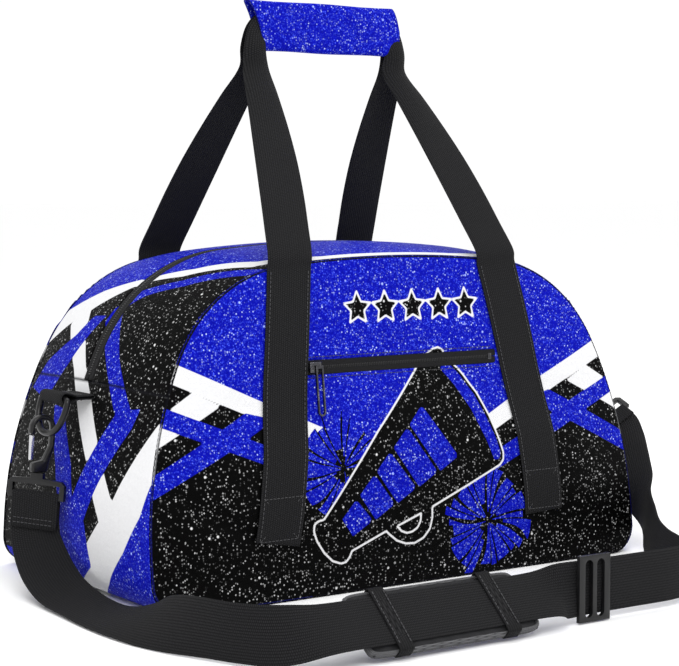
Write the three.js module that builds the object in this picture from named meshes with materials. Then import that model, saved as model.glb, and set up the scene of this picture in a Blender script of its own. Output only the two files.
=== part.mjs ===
// Cheer duffel bag: a dome-shaped zipped bag with webbing handles, a front zip pocket
// and a clip-on shoulder strap. Millimetres, +Z up, origin at the middle of the base.
import * as THREE from 'three';

// ---- driving dimensions ----
const LENGTH = 450; // bag body, end to end
const DEPTH = 245; // bag body at the floor, front panel to back panel
const HEIGHT = 246; // front and back panels, floor to crown
const LEAN = 29; // each panel leans in by this much between the floor and the crown
const BULGE = 9; // the gusset swells past the panels at the middle of the bag
const FABRIC = 2; // padded fabric with its lining
const GAP = 0.3; // seam allowance kept between neighbouring pieces
const CORNER_R = 24; // lower corners of the panels
const SHOULDER_Z = 35; // height where the ends start to curve in
const CROWN_R = 1000; // crown arc of the panels
const CROWN_HALF = 100; // half-length of the crown arc
const SIDE_ANGLE = 65; // degrees, where the shoulder arc meets the side arc
const WEB = 38; // webbing width
const WEB_T = 1.8; // webbing thickness
const ZIP_SLOT = 12; // gap in the gusset that the main zip fills
const COIL = 5; // width of the closed zip coils
const TAPE_T = 1.2; // zip tape thickness
const PULL_LIFT = 1.5; // from the top of a zip slider to the middle of its pull
const ZIP_END_Z = 152; // height where the main zip stops at each end
const HANDLE_X_LOW = 124.8; // handle webbing, middle line at its lower end
const HANDLE_X_TOP = 96; // and where it leaves the panel
const HANDLE_LOW_Z = 43; // lower end of the sewn webbing
const LEAVE_Z = HEIGHT - 2; // the webbing leaves the panel here, just above its edge
const GRIP_Z = 421.5; // middle of the grip wrap
const GRIP_LENGTH = 128;
const GRIP_HEIGHT = 39;
const GRIP_WALL = 2;
const GRIP_GAP = 2 * WEB_T + 2.4; // room inside the wrap for both handles
const LEG_TOP_WIDTH = 22; // the webbing is gathered where it enters the wrap
const POCKET_Z = 166; // pocket zip, middle line
const POCKET_SLOT = 11;
const POCKET_DEPTH = 10; // pocket lining behind the front panel
const BASE_T = 2.5; // stiffener board in the floor of the bag
const TAB_WIDTH = 36;
const TAB_Z = 145;
const TAB_REACH = 22; // from the gusset to the bar of the D-ring
const RING_WIRE = 4.8;
const RING_BAR_CLEAR = 0.5;
const RING_DROP = 27;
const RING_HALF = 23.5;
const HOOK_T = 6;
const HOOK_HEIGHT = 43;
const HOOK_EYE = 6.6; // inner radius of the claw
const LOOP_HEIGHT = 14;
const LOOP_HALF = 23;
const LOOP_WIRE = 4;
const PAD_LENGTH = 138;
const PAD_HEIGHT = 47;
const PAD_T = 6;
const SLIDER_HEIGHT = 46;
const SLIDER_LENGTH = 28;
const SLIDER_T = 3;
const STRAP_Y = -290; // straight stretch of the shoulder strap, along the bag's front
const STRAP_Z = 24; // upright stretches; the pad's stretch sits at the same height, leaning back
const PAD_TILT = THREE.MathUtils.degToRad(48); // lean of the pad and its webbing away from upright
const SLIDER_X = 22; // tri-glide slider, at rest

const group = new THREE.Group();
const V = (x, y, z) => new THREE.Vector3(x, y, z);

const finishes = {
  glitter: { color: 0x1420cc, roughness: 0.55, metalness: 0.1 },
  black: { color: 0x101014, roughness: 0.6, metalness: 0.1 },
  webbing: { color: 0x26262a, roughness: 0.9, metalness: 0 },
  plastic: { color: 0x18181b, roughness: 0.4, metalness: 0 },
  metal: { color: 0x3a3a40, roughness: 0.3, metalness: 0.9 },
  steel: { color: 0xb8b8bc, roughness: 0.3, metalness: 1 },
  lining: { color: 0x2c2c30, roughness: 0.9, metalness: 0 },
  board: { color: 0x202022, roughness: 0.7, metalness: 0 },
};

function add(name, geometry, finish) {
  geometry.deleteAttribute('uv');
  geometry.deleteAttribute('normal');
  const mesh = new THREE.Mesh(geometry, new THREE.MeshStandardMaterial(finishes[finish]));
  mesh.name = name;
  group.add(mesh);
}

// ---- geometry helpers ----

// Signed volume of a triangle list, to turn a body outward if it came out inside-out.
function signedVolume(p, index) {
  const [a, b, c] = [V(0, 0, 0), V(0, 0, 0), V(0, 0, 0)];
  let sum = 0;
  for (let i = 0; i < index.length; i += 3) {
    a.fromArray(p, 3 * index[i]);
    b.fromArray(p, 3 * index[i + 1]);
    c.fromArray(p, 3 * index[i + 2]);
    sum += a.dot(b.cross(c)) / 6;
  }
  return sum;
}

// A walled sheet: two grids of points, outer and inner, joined round their edges.
// Rows run along the piece and columns across it; a looped piece joins its last row to its first.
function walledSheet(outer, inner, looped = false) {
  const rows = outer.length;
  const cols = outer[0].length;
  const positions = [...outer.flat(), ...inner.flat()].flatMap((v) => [v.x, v.y, v.z]);
  const index = [];
  const quad = (a, b, c, d) => index.push(a, b, c, a, c, d);
  const at = (side, i, j) => side * rows * cols + (i % rows) * cols + j;
  for (let i = 0; i < (looped ? rows : rows - 1); i++) {
    for (let j = 0; j < cols - 1; j++) {
      quad(at(0, i, j), at(0, i + 1, j), at(0, i + 1, j + 1), at(0, i, j + 1));
      quad(at(1, i, j), at(1, i, j + 1), at(1, i + 1, j + 1), at(1, i + 1, j));
    }
    quad(at(0, i, 0), at(1, i, 0), at(1, i + 1, 0), at(0, i + 1, 0));
    quad(at(0, i, cols - 1), at(0, i + 1, cols - 1), at(1, i + 1, cols - 1), at(1, i, cols - 1));
  }
  if (!looped) {
    for (let j = 0; j < cols - 1; j++) {
      quad(at(0, 0, j), at(0, 0, j + 1), at(1, 0, j + 1), at(1, 0, j));
      quad(at(0, rows - 1, j), at(1, rows - 1, j), at(1, rows - 1, j + 1), at(0, rows - 1, j + 1));
    }
  }
  if (signedVolume(positions, index) < 0) index.reverse();
  const geometry = new THREE.BufferGeometry();
  geometry.setAttribute('position', new THREE.Float32BufferAttribute(positions, 3));
  geometry.setIndex(index);
  return geometry;
}

// A flat band of webbing along a row of stations {at, across, width, thick}.
// across is the direction of the webbing's width, made square to the path unless the station is
// level; along may be given where two pieces must meet on one plane.
function webbing(stations) {
  const outer = [];
  const inner = [];
  stations.forEach((s, i) => {
    const ahead = stations[Math.min(i + 1, stations.length - 1)].at;
    const behind = stations[Math.max(i - 1, 0)].at;
    const along = (s.along ?? ahead.clone().sub(behind)).clone().normalize();
    const across = s.across.clone().normalize();
    if (!s.level) across.addScaledVector(along, -across.dot(along)).normalize();
    const face = along.clone().cross(across).setLength((s.thick ?? WEB_T) / 2);
    const half = across.multiplyScalar((s.width ?? WEB) / 2);
    const edge = (side, layer) => s.at.clone().addScaledVector(half, side).addScaledVector(face, layer);
    outer.push([edge(-1, 1), edge(1, 1)]);
    inner.push([edge(-1, -1), edge(1, -1)]);
  });
  return walledSheet(outer, inner);
}

// A plate: a flat outline in (u, v), thickness along its normal, carried to a place and two directions.
function plate(shape, thick, origin, u, v, curveSegments = 6) {
  const solid = new THREE.ExtrudeGeometry(shape, { depth: thick, bevelEnabled: false, curveSegments });
  solid.translate(0, 0, -thick / 2);
  const normal = u.clone().cross(v);
  const frame = new THREE.Matrix4().makeBasis(u, v, normal).setPosition(origin);
  return solid.applyMatrix4(frame);
}

function rectangle(width, height, cx = 0, cy = 0, kind = THREE.Shape) {
  const path = new kind();
  path.moveTo(cx - width / 2, cy - height / 2);
  path.lineTo(cx + width / 2, cy - height / 2);
  path.lineTo(cx + width / 2, cy + height / 2);
  path.lineTo(cx - width / 2, cy + height / 2);
  path.closePath();
  return path;
}

// ---- outline of the panels: straight floor, round lower corners, side, shoulder and crown arcs ----
const HALF = LENGTH / 2;
const crownAngle = Math.asin(CROWN_HALF / CROWN_R);
const sideAngle = THREE.MathUtils.degToRad(SIDE_ANGLE);
const crownCentreZ = HEIGHT - CROWN_R;
// The shoulder and side radii follow from the length and height that the three arcs must span.
const spanX = HALF - CROWN_R * Math.sin(crownAngle);
const spanZ = HEIGHT - SHOULDER_Z - CROWN_R * (1 - Math.cos(crownAngle));
const s1 = Math.sin(crownAngle);
const c1 = Math.cos(crownAngle);
const s2 = Math.sin(sideAngle);
const c2 = Math.cos(sideAngle);
const det = (s2 - s1) * c2 - (1 - s2) * (c1 - c2);
const shoulderR = (spanX * c2 - (1 - s2) * spanZ) / det;
const sideR = ((s2 - s1) * spanZ - (c1 - c2) * spanX) / det;

// Points of one half of the outline, from the floor's middle round the +X end to the crown's middle.
// Each carries its outward direction, so that the gusset can swell along it.
function arcPoints(cx, cz, r, from, to, steps) {
  const points = [];
  for (let i = 1; i <= steps; i++) {
    const a = from + ((to - from) * i) / steps;
    points.push({ x: cx + r * Math.sin(a), z: cz + r * Math.cos(a), nx: Math.sin(a), nz: Math.cos(a) });
  }
  return points;
}

const shoulderCx = (CROWN_R - shoulderR) * s1;
const shoulderCz = crownCentreZ + (CROWN_R - shoulderR) * c1;
const half = [
  { x: 0, z: 0, nx: 0, nz: -1 },
  { x: HALF - CORNER_R, z: 0, nx: 0, nz: -1 },
  ...arcPoints(HALF - CORNER_R, CORNER_R, CORNER_R, Math.PI, Math.PI / 2, 4),
  { x: HALF, z: SHOULDER_Z, nx: 1, nz: 0 },
  ...arcPoints(HALF - sideR, SHOULDER_Z, sideR, Math.PI / 2, sideAngle, 6),
  ...arcPoints(shoulderCx, shoulderCz, shoulderR, sideAngle, crownAngle, 7),
  ...arcPoints(0, crownCentreZ, CROWN_R, crownAngle, 0, 3),
];
const mirrored = half.map((p) => ({ ...p, x: -p.x, nx: -p.nx })).reverse();
const outline = [...half.slice(0, -1), ...mirrored.slice(0, -1)]; // closed, counter-clockwise from -Y

// Half-depth of the bag at a height, and how far the gusset stands past the panels.
const halfDepth = (z) => DEPTH / 2 - (LEAN * z) / HEIGHT;
const swell = (z) => BULGE * THREE.MathUtils.smoothstep(z, 0, SHOULDER_Z + 60);

// The outline moved inward by a distance, for what lies inside the fabric.
const insetPoint = (p, inset) => ({ ...p, x: p.x - p.nx * inset, z: p.z - p.nz * inset });

// ---- front and back panels ----
function panelShape(inset, points = outline) {
  const shape = new THREE.Shape();
  const moved = points.map((p) => insetPoint(p, inset));
  moved.forEach((p, i) => (i ? shape.lineTo(p.x, p.z) : shape.moveTo(p.x, p.z)));
  shape.closePath();
  return shape;
}

// A panel is an upright plate sheared so that it leans in with height; side is -1 at the front.
function leaningPanel(shape, thick, outside, side) {
  const solid = new THREE.ExtrudeGeometry(shape, { depth: thick, bevelEnabled: false, curveSegments: 4 });
  const slope = LEAN / HEIGHT;
  const y0 = side * (DEPTH / 2 - outside);
  // x stays, height leans it in, and thickness grows towards the inside of the bag
  const shear = new THREE.Matrix4().set(1, 0, 0, 0, 0, -side * slope, -side, y0, 0, 1, 0, 0, 0, 0, 0, 1);
  solid.applyMatrix4(shear);
  return solid;
}

// The webbing leans in as it rises; the pocket's slot runs from the one band to the other.
const handleX = (z) => THREE.MathUtils.mapLinear(z, HANDLE_LOW_Z, LEAVE_Z, HANDLE_X_LOW, HANDLE_X_TOP);
const slotHalf = handleX(POCKET_Z) - WEB / 2;

// Turns a body outward if it came out inside-out.
function outward(geometry) {
  const indexed = geometry.index;
  const position = geometry.attributes.position.array;
  const order = indexed ? [...indexed.array] : [...Array(position.length / 3).keys()];
  if (signedVolume(position, order) < 0) geometry.setIndex(order.reverse());
  return geometry;
}

const frontShape = panelShape(0);
frontShape.holes.push(rectangle(2 * slotHalf, POCKET_SLOT, 0, POCKET_Z, THREE.Path));
add('front_panel', outward(leaningPanel(frontShape, FABRIC, 0, -1)), 'glitter');
add('back_panel', outward(leaningPanel(panelShape(0), FABRIC, 0, 1)), 'glitter');

// ---- front pocket: lining behind the panel, zip tapes, coil and end stops in the slot ----
const liningHalf = slotHalf + 16;
const liningTop = POCKET_Z + 16;
const liningLow = 30;
// The lining is a shallow tray: a flat back with four walls that reach the front panel.
const tray = new THREE.Shape();
tray.moveTo(-liningHalf, liningLow);
tray.lineTo(liningHalf, liningLow);
tray.lineTo(liningHalf, liningTop);
tray.lineTo(-liningHalf, liningTop);
tray.closePath();
add('pocket_lining', outward(leaningPanel(tray, 1, FABRIC + POCKET_DEPTH, -1)), 'lining');
for (const side of [-1, 1]) {
  const end = side < 0 ? 'left' : 'right';
  const wall = rectangle(1, liningTop - liningLow, side * (liningHalf - 0.5), (liningTop + liningLow) / 2);
  const depth = POCKET_DEPTH - 2 * GAP;
  add(`pocket_wall_${end}`, outward(leaningPanel(wall, depth, FABRIC + GAP, -1)), 'lining');
}
const tapeHeight = (POCKET_SLOT - COIL) / 2 - 2 * GAP;
for (const side of [-1, 1]) {
  const tapeZ = POCKET_Z + side * (COIL / 2 + GAP + tapeHeight / 2);
  const tape = rectangle(2 * (slotHalf - GAP), tapeHeight, 0, tapeZ);
  const tapeName = `pocket_zip_tape_${side < 0 ? 'lower' : 'upper'}`;
  add(tapeName, outward(leaningPanel(tape, TAPE_T, 0.4, -1)), 'webbing');
}
const STOP = 4;
const coilHalf = slotHalf - GAP - STOP;
const coilShape = rectangle(2 * coilHalf, COIL, 0, POCKET_Z);
add('pocket_zip_coil', outward(leaningPanel(coilShape, 1.6, 0.2, -1)), 'plastic');
for (const side of [-1, 1]) {
  const stop = rectangle(STOP - 2 * GAP, COIL, side * (coilHalf + STOP / 2), POCKET_Z);
  add(`pocket_zip_stop_${side < 0 ? 'left' : 'right'}`, outward(leaningPanel(stop, 1.8, 0.2, -1)), 'metal');
}

// ---- gusset and main zip ----
// A strip of gusset between two depths: rows follow the outline, columns run from front to back.
// depths are fractions of the half-depth, except that inner edges may be held at a fixed distance.
function gussetStrip(points, columns, wall, raise = 0) {
  const rows = (inset) => points.map((p) => columns(p).map((y) => {
    const edge = halfDepth(p.z);
    const out = swell(p.z) * (1 - (y / edge) ** 2) + raise - inset;
    return V(p.x + p.nx * out, y, Math.max(p.z + p.nz * out, inset));
  }));
  return walledSheet(rows(0), rows(wall));
}

// The zip ends on the side arcs: the point of the outline at that height, on either side.
const zipAngle = Math.acos((ZIP_END_Z - SHOULDER_Z) / sideR);
const zipEnd = arcPoints(HALF - sideR, SHOULDER_Z, sideR, zipAngle, zipAngle, 1)[0];
const topHalf = [
  ...arcPoints(HALF - sideR, SHOULDER_Z, sideR, zipAngle, sideAngle, 2),
  ...arcPoints(shoulderCx, shoulderCz, shoulderR, sideAngle, crownAngle, 7),
  ...arcPoints(0, crownCentreZ, CROWN_R, crownAngle, 0, 3),
];
const seamAngle = zipAngle + 0.004; // a hair lower, so that the lower gusset clears the zip's end
const lowHalf = [
  ...half.slice(0, 7),
  ...arcPoints(HALF - sideR, SHOULDER_Z, sideR, Math.PI / 2, seamAngle, 5),
];
const flip = (p) => ({ ...p, x: -p.x, nx: -p.nx });
const lowRun = [...lowHalf.slice(1).reverse(), ...lowHalf.slice(1).map(flip)];
const rise = [zipEnd, ...topHalf.slice(0, -1)];
const topRun = [...rise, topHalf.at(-1), ...rise.map(flip).reverse()];

const edgeY = (z) => halfDepth(z) - FABRIC - GAP;
const acrossLow = (p) => [-1, -0.5, 0, 0.5, 1].map((f) => f * edgeY(p.z));
add('gusset_lower', gussetStrip(lowRun, acrossLow, FABRIC), 'black');
for (const side of [-1, 1]) {
  const where = side < 0 ? 'front' : 'back';
  const strip = (p) => [ZIP_SLOT / 2, (ZIP_SLOT / 2 + edgeY(p.z)) / 2, edgeY(p.z)].map((y) => side * y);
  add(`gusset_top_${where}`, gussetStrip(topRun, strip, FABRIC), 'glitter');
  const tape = () => [COIL / 2 + GAP, ZIP_SLOT / 2 - GAP].map((y) => side * y);
  add(`main_zip_tape_${where}`, gussetStrip(topRun.slice(1, -1), tape, TAPE_T), 'webbing');
}
add('main_zip_coil', gussetStrip(topRun.slice(1, -1), () => [-COIL / 2, COIL / 2], 1.8), 'plastic');

// Bound seam allowances inside the bag, one round each panel.
for (const side of [-1, 1]) {
  const ring = (inset) => outline.map((p) => {
    const q = insetPoint(p, inset);
    const y = halfDepth(q.z) - FABRIC - GAP;
    return [V(q.x, side * y, q.z), V(q.x, side * (y - 9), q.z)];
  });
  const binding = walledSheet(ring(FABRIC + GAP), ring(FABRIC + GAP + 1), true);
  add(`seam_binding_${side < 0 ? 'front' : 'back'}`, binding, 'lining');
}

// Stiffener board on the floor of the bag.
const boardZ = FABRIC + GAP + BASE_T / 2;
const boardHalf = HALF - CORNER_R - 4;
const board = rectangle(2 * boardHalf, DEPTH - 36);
add('base_board', plate(board, BASE_T, V(0, 0, boardZ), V(1, 0, 0), V(0, 1, 0)), 'board');

// ---- handles ----
for (const [depthName, face] of [['front', -1], ['back', 1]]) {
  for (const [sideName, side] of [['left', -1], ['right', 1]]) {
    const lie = (z) => V(side * handleX(z), face * (halfDepth(z) + GAP + WEB_T / 2), z);
    const level = V(1, 0, 0);
    const sewn = [HANDLE_LOW_Z, LEAVE_Z].map((z) => ({ at: lie(z), across: level, level: true }));
    add(`webbing_${depthName}_${sideName}`, webbing(sewn), 'webbing');
    // The free leg rises from the panel, leans in over the bag and is gathered below the wrap.
    const foot = lie(LEAVE_Z + 2 * GAP);
    const topX = side * (GRIP_LENGTH - LEG_TOP_WIDTH) / 2;
    const top = V(topX, face * (WEB_T / 2 + 1.4), GRIP_Z - GRIP_HEIGHT / 2 - 3 * GAP);
    const leg = [];
    for (const t of [0, 0.08, 0.2, 0.4, 0.6, 0.8, 0.92, 1]) {
      const at = foot.clone().lerp(top, t);
      at.y += face * 5 * Math.sin(Math.PI * t);
      const gather = THREE.MathUtils.smoothstep(t, 0.55, 1);
      leg.push({ at, across: level, level: true, width: THREE.MathUtils.lerp(WEB, LEG_TOP_WIDTH, gather) });
    }
    add(`handle_leg_${depthName}_${sideName}`, webbing(leg), 'webbing');
  }
  // The stretch of each handle that runs through the wrap.
  const y = face * (WEB_T / 2 + 0.3);
  const width = GRIP_HEIGHT - 2 * GRIP_WALL - 2 * GAP;
  const across = V(0, 0, 1);
  const through = [-1, 1].map((side) => ({ at: V((side * GRIP_LENGTH) / 2, y, GRIP_Z), across, width }));
  add(`grip_webbing_${depthName}`, webbing(through), 'webbing');
}

// Wrap: a sleeve round both handles, open in a slit at its lower back edge, and the flap that closes it.
const sleeveHalf = GRIP_GAP / 2 + GRIP_WALL;
const sleeveTop = GRIP_HEIGHT / 2;
const sleeve = new THREE.Shape();
sleeve.moveTo(sleeveHalf - GRIP_WALL, -sleeveTop + 9);
sleeve.lineTo(sleeveHalf - GRIP_WALL, sleeveTop - GRIP_WALL);
sleeve.lineTo(-sleeveHalf + GRIP_WALL, sleeveTop - GRIP_WALL);
sleeve.lineTo(-sleeveHalf + GRIP_WALL, -sleeveTop + GRIP_WALL);
sleeve.lineTo(sleeveHalf - GRIP_WALL, -sleeveTop + GRIP_WALL);
sleeve.lineTo(sleeveHalf - GRIP_WALL, -sleeveTop);
sleeve.lineTo(-sleeveHalf + 2, -sleeveTop);
sleeve.lineTo(-sleeveHalf, -sleeveTop + 2);
sleeve.lineTo(-sleeveHalf, sleeveTop - 2);
sleeve.lineTo(-sleeveHalf + 2, sleeveTop);
sleeve.lineTo(sleeveHalf - 2, sleeveTop);
sleeve.lineTo(sleeveHalf, sleeveTop - 2);
sleeve.lineTo(sleeveHalf, -sleeveTop + 9);
sleeve.closePath();
const gripAt = V(0, 0, GRIP_Z);
add('grip_wrap', plate(sleeve, GRIP_LENGTH, gripAt, V(0, 1, 0), V(0, 0, 1)), 'glitter');
// The flap lies on the back of the sleeve and hinges at its top edge.
const FLAP_T = 1.6;
const flapHeight = GRIP_HEIGHT - 3;
const flapY = sleeveHalf + GAP + FLAP_T / 2;
const flapShape = rectangle(FLAP_T, flapHeight, flapY, -0.5);
add('grip_flap', plate(flapShape, GRIP_LENGTH, gripAt, V(0, 1, 0), V(0, 0, 1)), 'glitter');

// ---- zip sliders and pull tabs ----
const SLIDER_TALL = 4;
const PULL_LENGTH = 36;
const PULL_WIDTH = 6.5;
// A slider is a small block that rides above its coil; u runs along the zip and up points away from it.
function zipSlider(name, at, along, up, length, width) {
  const body = new THREE.Shape();
  body.moveTo(-length / 2, 0);
  body.lineTo(length / 2, 0);
  body.lineTo(length / 2, 2);
  body.lineTo(length / 4, SLIDER_TALL);
  body.lineTo(-length / 4, SLIDER_TALL);
  body.lineTo(-length / 2, 2);
  body.closePath();
  add(name, plate(body, width, at, along, up), 'metal');
}
// A pull is a long wire loop, hung from the slider by a small ear.
function zipPull(name, at, down, across, length, width) {
  const outlineOf = (half, top, kind) => {
    const path = new kind();
    path.moveTo(half, top);
    path.lineTo(-half, top);
    path.lineTo(-half, width / 2 - length);
    path.absarc(0, width / 2 - length, half, Math.PI, 2 * Math.PI, false);
    path.closePath();
    return path;
  };
  const loop = outlineOf(width / 2, 1.2, THREE.Shape);
  const eye = outlineOf(width / 2 - 1.3, -1.2, THREE.Path);
  loop.holes.push(eye);
  add(name, outward(plate(loop, 1.6, at, across, down.clone().negate())), 'metal');
}
const slope = LEAN / HEIGHT;
const frontUp = V(0, -1, slope).normalize();
const pocketSliderAt = V(-slotHalf + 9, -halfDepth(POCKET_Z) - GAP, POCKET_Z);
zipSlider('pocket_zip_slider', pocketSliderAt, V(1, 0, 0), frontUp, 11, 8);
const pocketPullAt = pocketSliderAt.clone().addScaledVector(frontUp, SLIDER_TALL + PULL_LIFT);
const frontDown = V(0, -slope, -1).normalize();
zipPull('pocket_zip_pull', pocketPullAt, frontDown, V(1, 0, 0), PULL_LENGTH, PULL_WIDTH);

// Main zip: its slider is parked near the right end, on the shoulder arc, with its pull hanging.
const sliderAngle = THREE.MathUtils.degToRad(60);
const zipUp = V(Math.sin(sliderAngle), 0, Math.cos(sliderAngle));
const zipAlong = V(Math.cos(sliderAngle), 0, -Math.sin(sliderAngle));
const mainSliderAt = V(shoulderCx, 0, shoulderCz).addScaledVector(zipUp, shoulderR + BULGE + GAP);
zipSlider('main_zip_slider', mainSliderAt, zipAlong, zipUp, 11, 8);
const mainPullAt = mainSliderAt.clone().addScaledVector(zipUp, SLIDER_TALL + PULL_LIFT);
zipPull('main_zip_pull', mainPullAt, zipAlong, V(0, 1, 0), PULL_LENGTH, PULL_WIDTH);

// ---- D-rings on their tabs, one at each end of the main zip ----
const tabR = sideR + swell(TAB_Z);
const tabFoot = HALF - sideR + Math.sqrt(tabR ** 2 - (TAB_Z - SHOULDER_Z) ** 2);
const ringX = tabFoot + TAB_REACH;
for (const [name, side] of [['left', -1], ['right', 1]]) {
  // Tab: webbing folded round the bar of the D-ring; its section is a keyhole, extruded along Y.
  const r = RING_WIRE / Math.SQRT2 + RING_BAR_CLEAR;
  const R = r + WEB_T;
  const tail = TAB_REACH - GAP - 0.6;
  const key = new THREE.Shape();
  key.moveTo(-tail, -WEB_T);
  key.lineTo(-R * 0.9, -WEB_T);
  key.absarc(0, 0, R, Math.PI + 0.35, Math.PI * 3 - 0.35, false);
  key.lineTo(-tail, WEB_T);
  key.closePath();
  const bore = new THREE.Path();
  bore.absarc(0, 0, r, 0, Math.PI * 2, false);
  key.holes.push(bore);
  const tab = plate(key, TAB_WIDTH, V(side * ringX, 0, TAB_Z), V(side, 0, 0), V(0, 0, 1));
  add(`${name}_ring_tab`, outward(tab), 'webbing');
}

// Frames of reference of the two hangers: the way each D-ring drops, and the way its hook pulls.
const hangers = {
  left: { drop: V(-0.3, 0, -1), slide: 10, pull: V(-0.08, 0.02, -1), across: V(0.6, -0.8, 0) },
  right: { drop: V(0.5, 0, -0.866), slide: -9, pull: V(0.22, -0.84, -0.5), across: V(0.85, -0.5, 0.2) },
};
const loopBars = {};
for (const [name, side] of [['left', -1], ['right', 1]]) {
  const hang = hangers[name];
  const bar = V(side * ringX, 0, TAB_Z);
  const drop = hang.drop.clone().normalize();
  const ring = new THREE.Shape();
  ring.moveTo(-RING_HALF, RING_WIRE / 2);
  ring.lineTo(-RING_HALF, -6);
  ring.absellipse(0, -6, RING_HALF, RING_DROP - 6 + RING_WIRE / 2, Math.PI, 2 * Math.PI, false);
  ring.lineTo(RING_HALF, RING_WIRE / 2);
  ring.closePath();
  const eye = new THREE.Path();
  const inner = RING_HALF - RING_WIRE;
  eye.moveTo(-inner, -RING_WIRE / 2);
  eye.lineTo(-inner, -6);
  eye.absellipse(0, -6, inner, RING_DROP - 6 - RING_WIRE / 2, Math.PI, 2 * Math.PI, false);
  eye.lineTo(inner, -RING_WIRE / 2);
  eye.closePath();
  ring.holes.push(eye);
  add(`${name}_d_ring`, outward(plate(ring, RING_WIRE, bar, V(0, 1, 0), drop.clone().negate())), 'plastic');

  // Hook: its claw passes round the lower wire of the ring, and its plane holds the pull direction.
  const bow = Math.sqrt(1 - (hang.slide / (RING_HALF - RING_WIRE / 2)) ** 2);
  const wire = bar.clone().addScaledVector(drop, 6 + (RING_DROP - 6) * bow).add(V(0, hang.slide, 0));
  const pull = hang.pull.clone().normalize();
  const up = pull.clone().negate();
  // The left hook opens along the bag; the right one lies across the plane of Y and its pull.
  const depthWay = V(0, 1, 0).addScaledVector(up, -up.y).normalize();
  const lengthWay = V(1, 0, 0).addScaledVector(up, -up.x).normalize();
  const plane = side < 0 ? lengthWay : depthWay.cross(up).normalize();
  const origin = wire.clone().addScaledVector(pull, HOOK_HEIGHT - 10.5);
  const claw = new THREE.Shape();
  claw.moveTo(-6, 0);
  claw.lineTo(6, 0);
  claw.lineTo(7.5, 8);
  claw.lineTo(11, 20);
  claw.lineTo(11, HOOK_HEIGHT - 10.5);
  claw.absarc(1, HOOK_HEIGHT - 10.5, 10, 0, Math.PI, false);
  claw.lineTo(-9, 28);
  claw.lineTo(1 - HOOK_EYE, 28);
  claw.lineTo(1 - HOOK_EYE, HOOK_HEIGHT - 10.5);
  claw.absarc(1, HOOK_HEIGHT - 10.5, HOOK_EYE, Math.PI, 0, true);
  claw.lineTo(1 + HOOK_EYE, 20);
  claw.lineTo(2.5, 9);
  claw.lineTo(-6, 7);
  claw.closePath();
  add(`${name}_hook`, outward(plate(claw, HOOK_T, origin, plane, up)), 'plastic');
  const gate = new THREE.Shape();
  gate.moveTo(-8, 9);
  gate.lineTo(-5.2, 9);
  gate.lineTo(-4.9, 27.6);
  gate.lineTo(-8.6, 27.6);
  gate.closePath();
  add(`${name}_hook_gate`, outward(plate(gate, 3, origin, plane, up)), 'steel');

  // Swivel base: a collar under the hook with a rectangular loop for the strap.
  const across = hang.across.clone().addScaledVector(up, -up.dot(hang.across)).normalize();
  const base = new THREE.Shape();
  const top = -GAP;
  base.moveTo(-5, top);
  base.lineTo(-5, top - 4);
  base.lineTo(-LOOP_HALF + 3, top - 5);
  base.lineTo(-LOOP_HALF, top - 8);
  base.lineTo(-LOOP_HALF, top - 5 - LOOP_HEIGHT);
  base.lineTo(LOOP_HALF, top - 5 - LOOP_HEIGHT);
  base.lineTo(LOOP_HALF, top - 8);
  base.lineTo(LOOP_HALF - 3, top - 5);
  base.lineTo(5, top - 4);
  base.lineTo(5, top);
  base.closePath();
  const hole = LOOP_HEIGHT - LOOP_WIRE - 3.5;
  const holeV = top - 5 - LOOP_HEIGHT + LOOP_WIRE + hole / 2;
  base.holes.push(rectangle(2 * (LOOP_HALF - LOOP_WIRE), hole, 0, holeV, THREE.Path));
  add(`${name}_swivel_loop`, outward(plate(base, 4, origin, across, up)), 'plastic');
  loopBars[name] = { at: origin.clone().addScaledVector(up, top - 5 - LOOP_HEIGHT), across, pull };
}

// ---- shoulder strap ----
// Stations chosen by hand: place of the middle line, and the direction of the webbing's width.
const leftBar = loopBars.left;
const rightBar = loopBars.right;
const underBar = (bar, d) => bar.at.clone().addScaledVector(bar.pull, d);
const leftEnd = [
  { at: underBar(leftBar, GAP), across: leftBar.across, thick: 2 * WEB_T + 0.4 },
  { at: underBar(leftBar, 22), across: leftBar.across, thick: 2 * WEB_T + 0.4 },
];
const leftFall = [
  { at: underBar(leftBar, 22 + GAP), across: leftBar.across, along: leftBar.pull },
  { at: V(-251, 4, 34), across: V(0.7, -0.66, 0.2) },
  { at: V(-252, -14, 20), across: V(0.85, -0.4, 0.28) },
  { at: V(-253, -40, 10), across: V(0.95, -0.1, 0.3) },
  { at: V(-254, -78, 6), across: V(0.98, 0, 0.18) },
  { at: V(-256, -115, 6.5), across: V(0.97, 0, 0.25) },
  { at: V(-257, -152, 11), across: V(0.86, 0, 0.5) },
  { at: V(-257, -190, 17), across: V(0.5, 0, 0.86) },
  { at: V(-252, -226, 20.5), across: V(0.15, 0, 0.99) },
  { at: V(-241, -258, 21), across: V(0, 0.1, 1) },
  { at: V(-224, -280, 20.5), across: V(0, 0.4, 0.92) },
];
const padAcross = V(0, Math.sin(PAD_TILT), Math.cos(PAD_TILT));
const PAD_RUN = [-196, -20]; // the stretch where the webbing keeps the pad's slant
const upright = V(0, 0, 1);
const straight = [
  ...PAD_RUN.map((x) => ({ at: V(x, STRAP_Y, STRAP_Z), across: padAcross })),
  ...[0, SLIDER_X].map((x) => ({ at: V(x, STRAP_Y, STRAP_Z), across: upright })),
];
const DOUBLE = 2 * WEB_T + 0.4;
const seam = { at: V(232, -126, 37), across: V(0.1, -0.05, 1), along: V(0.5, 0.8, 0.35).normalize() };
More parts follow.
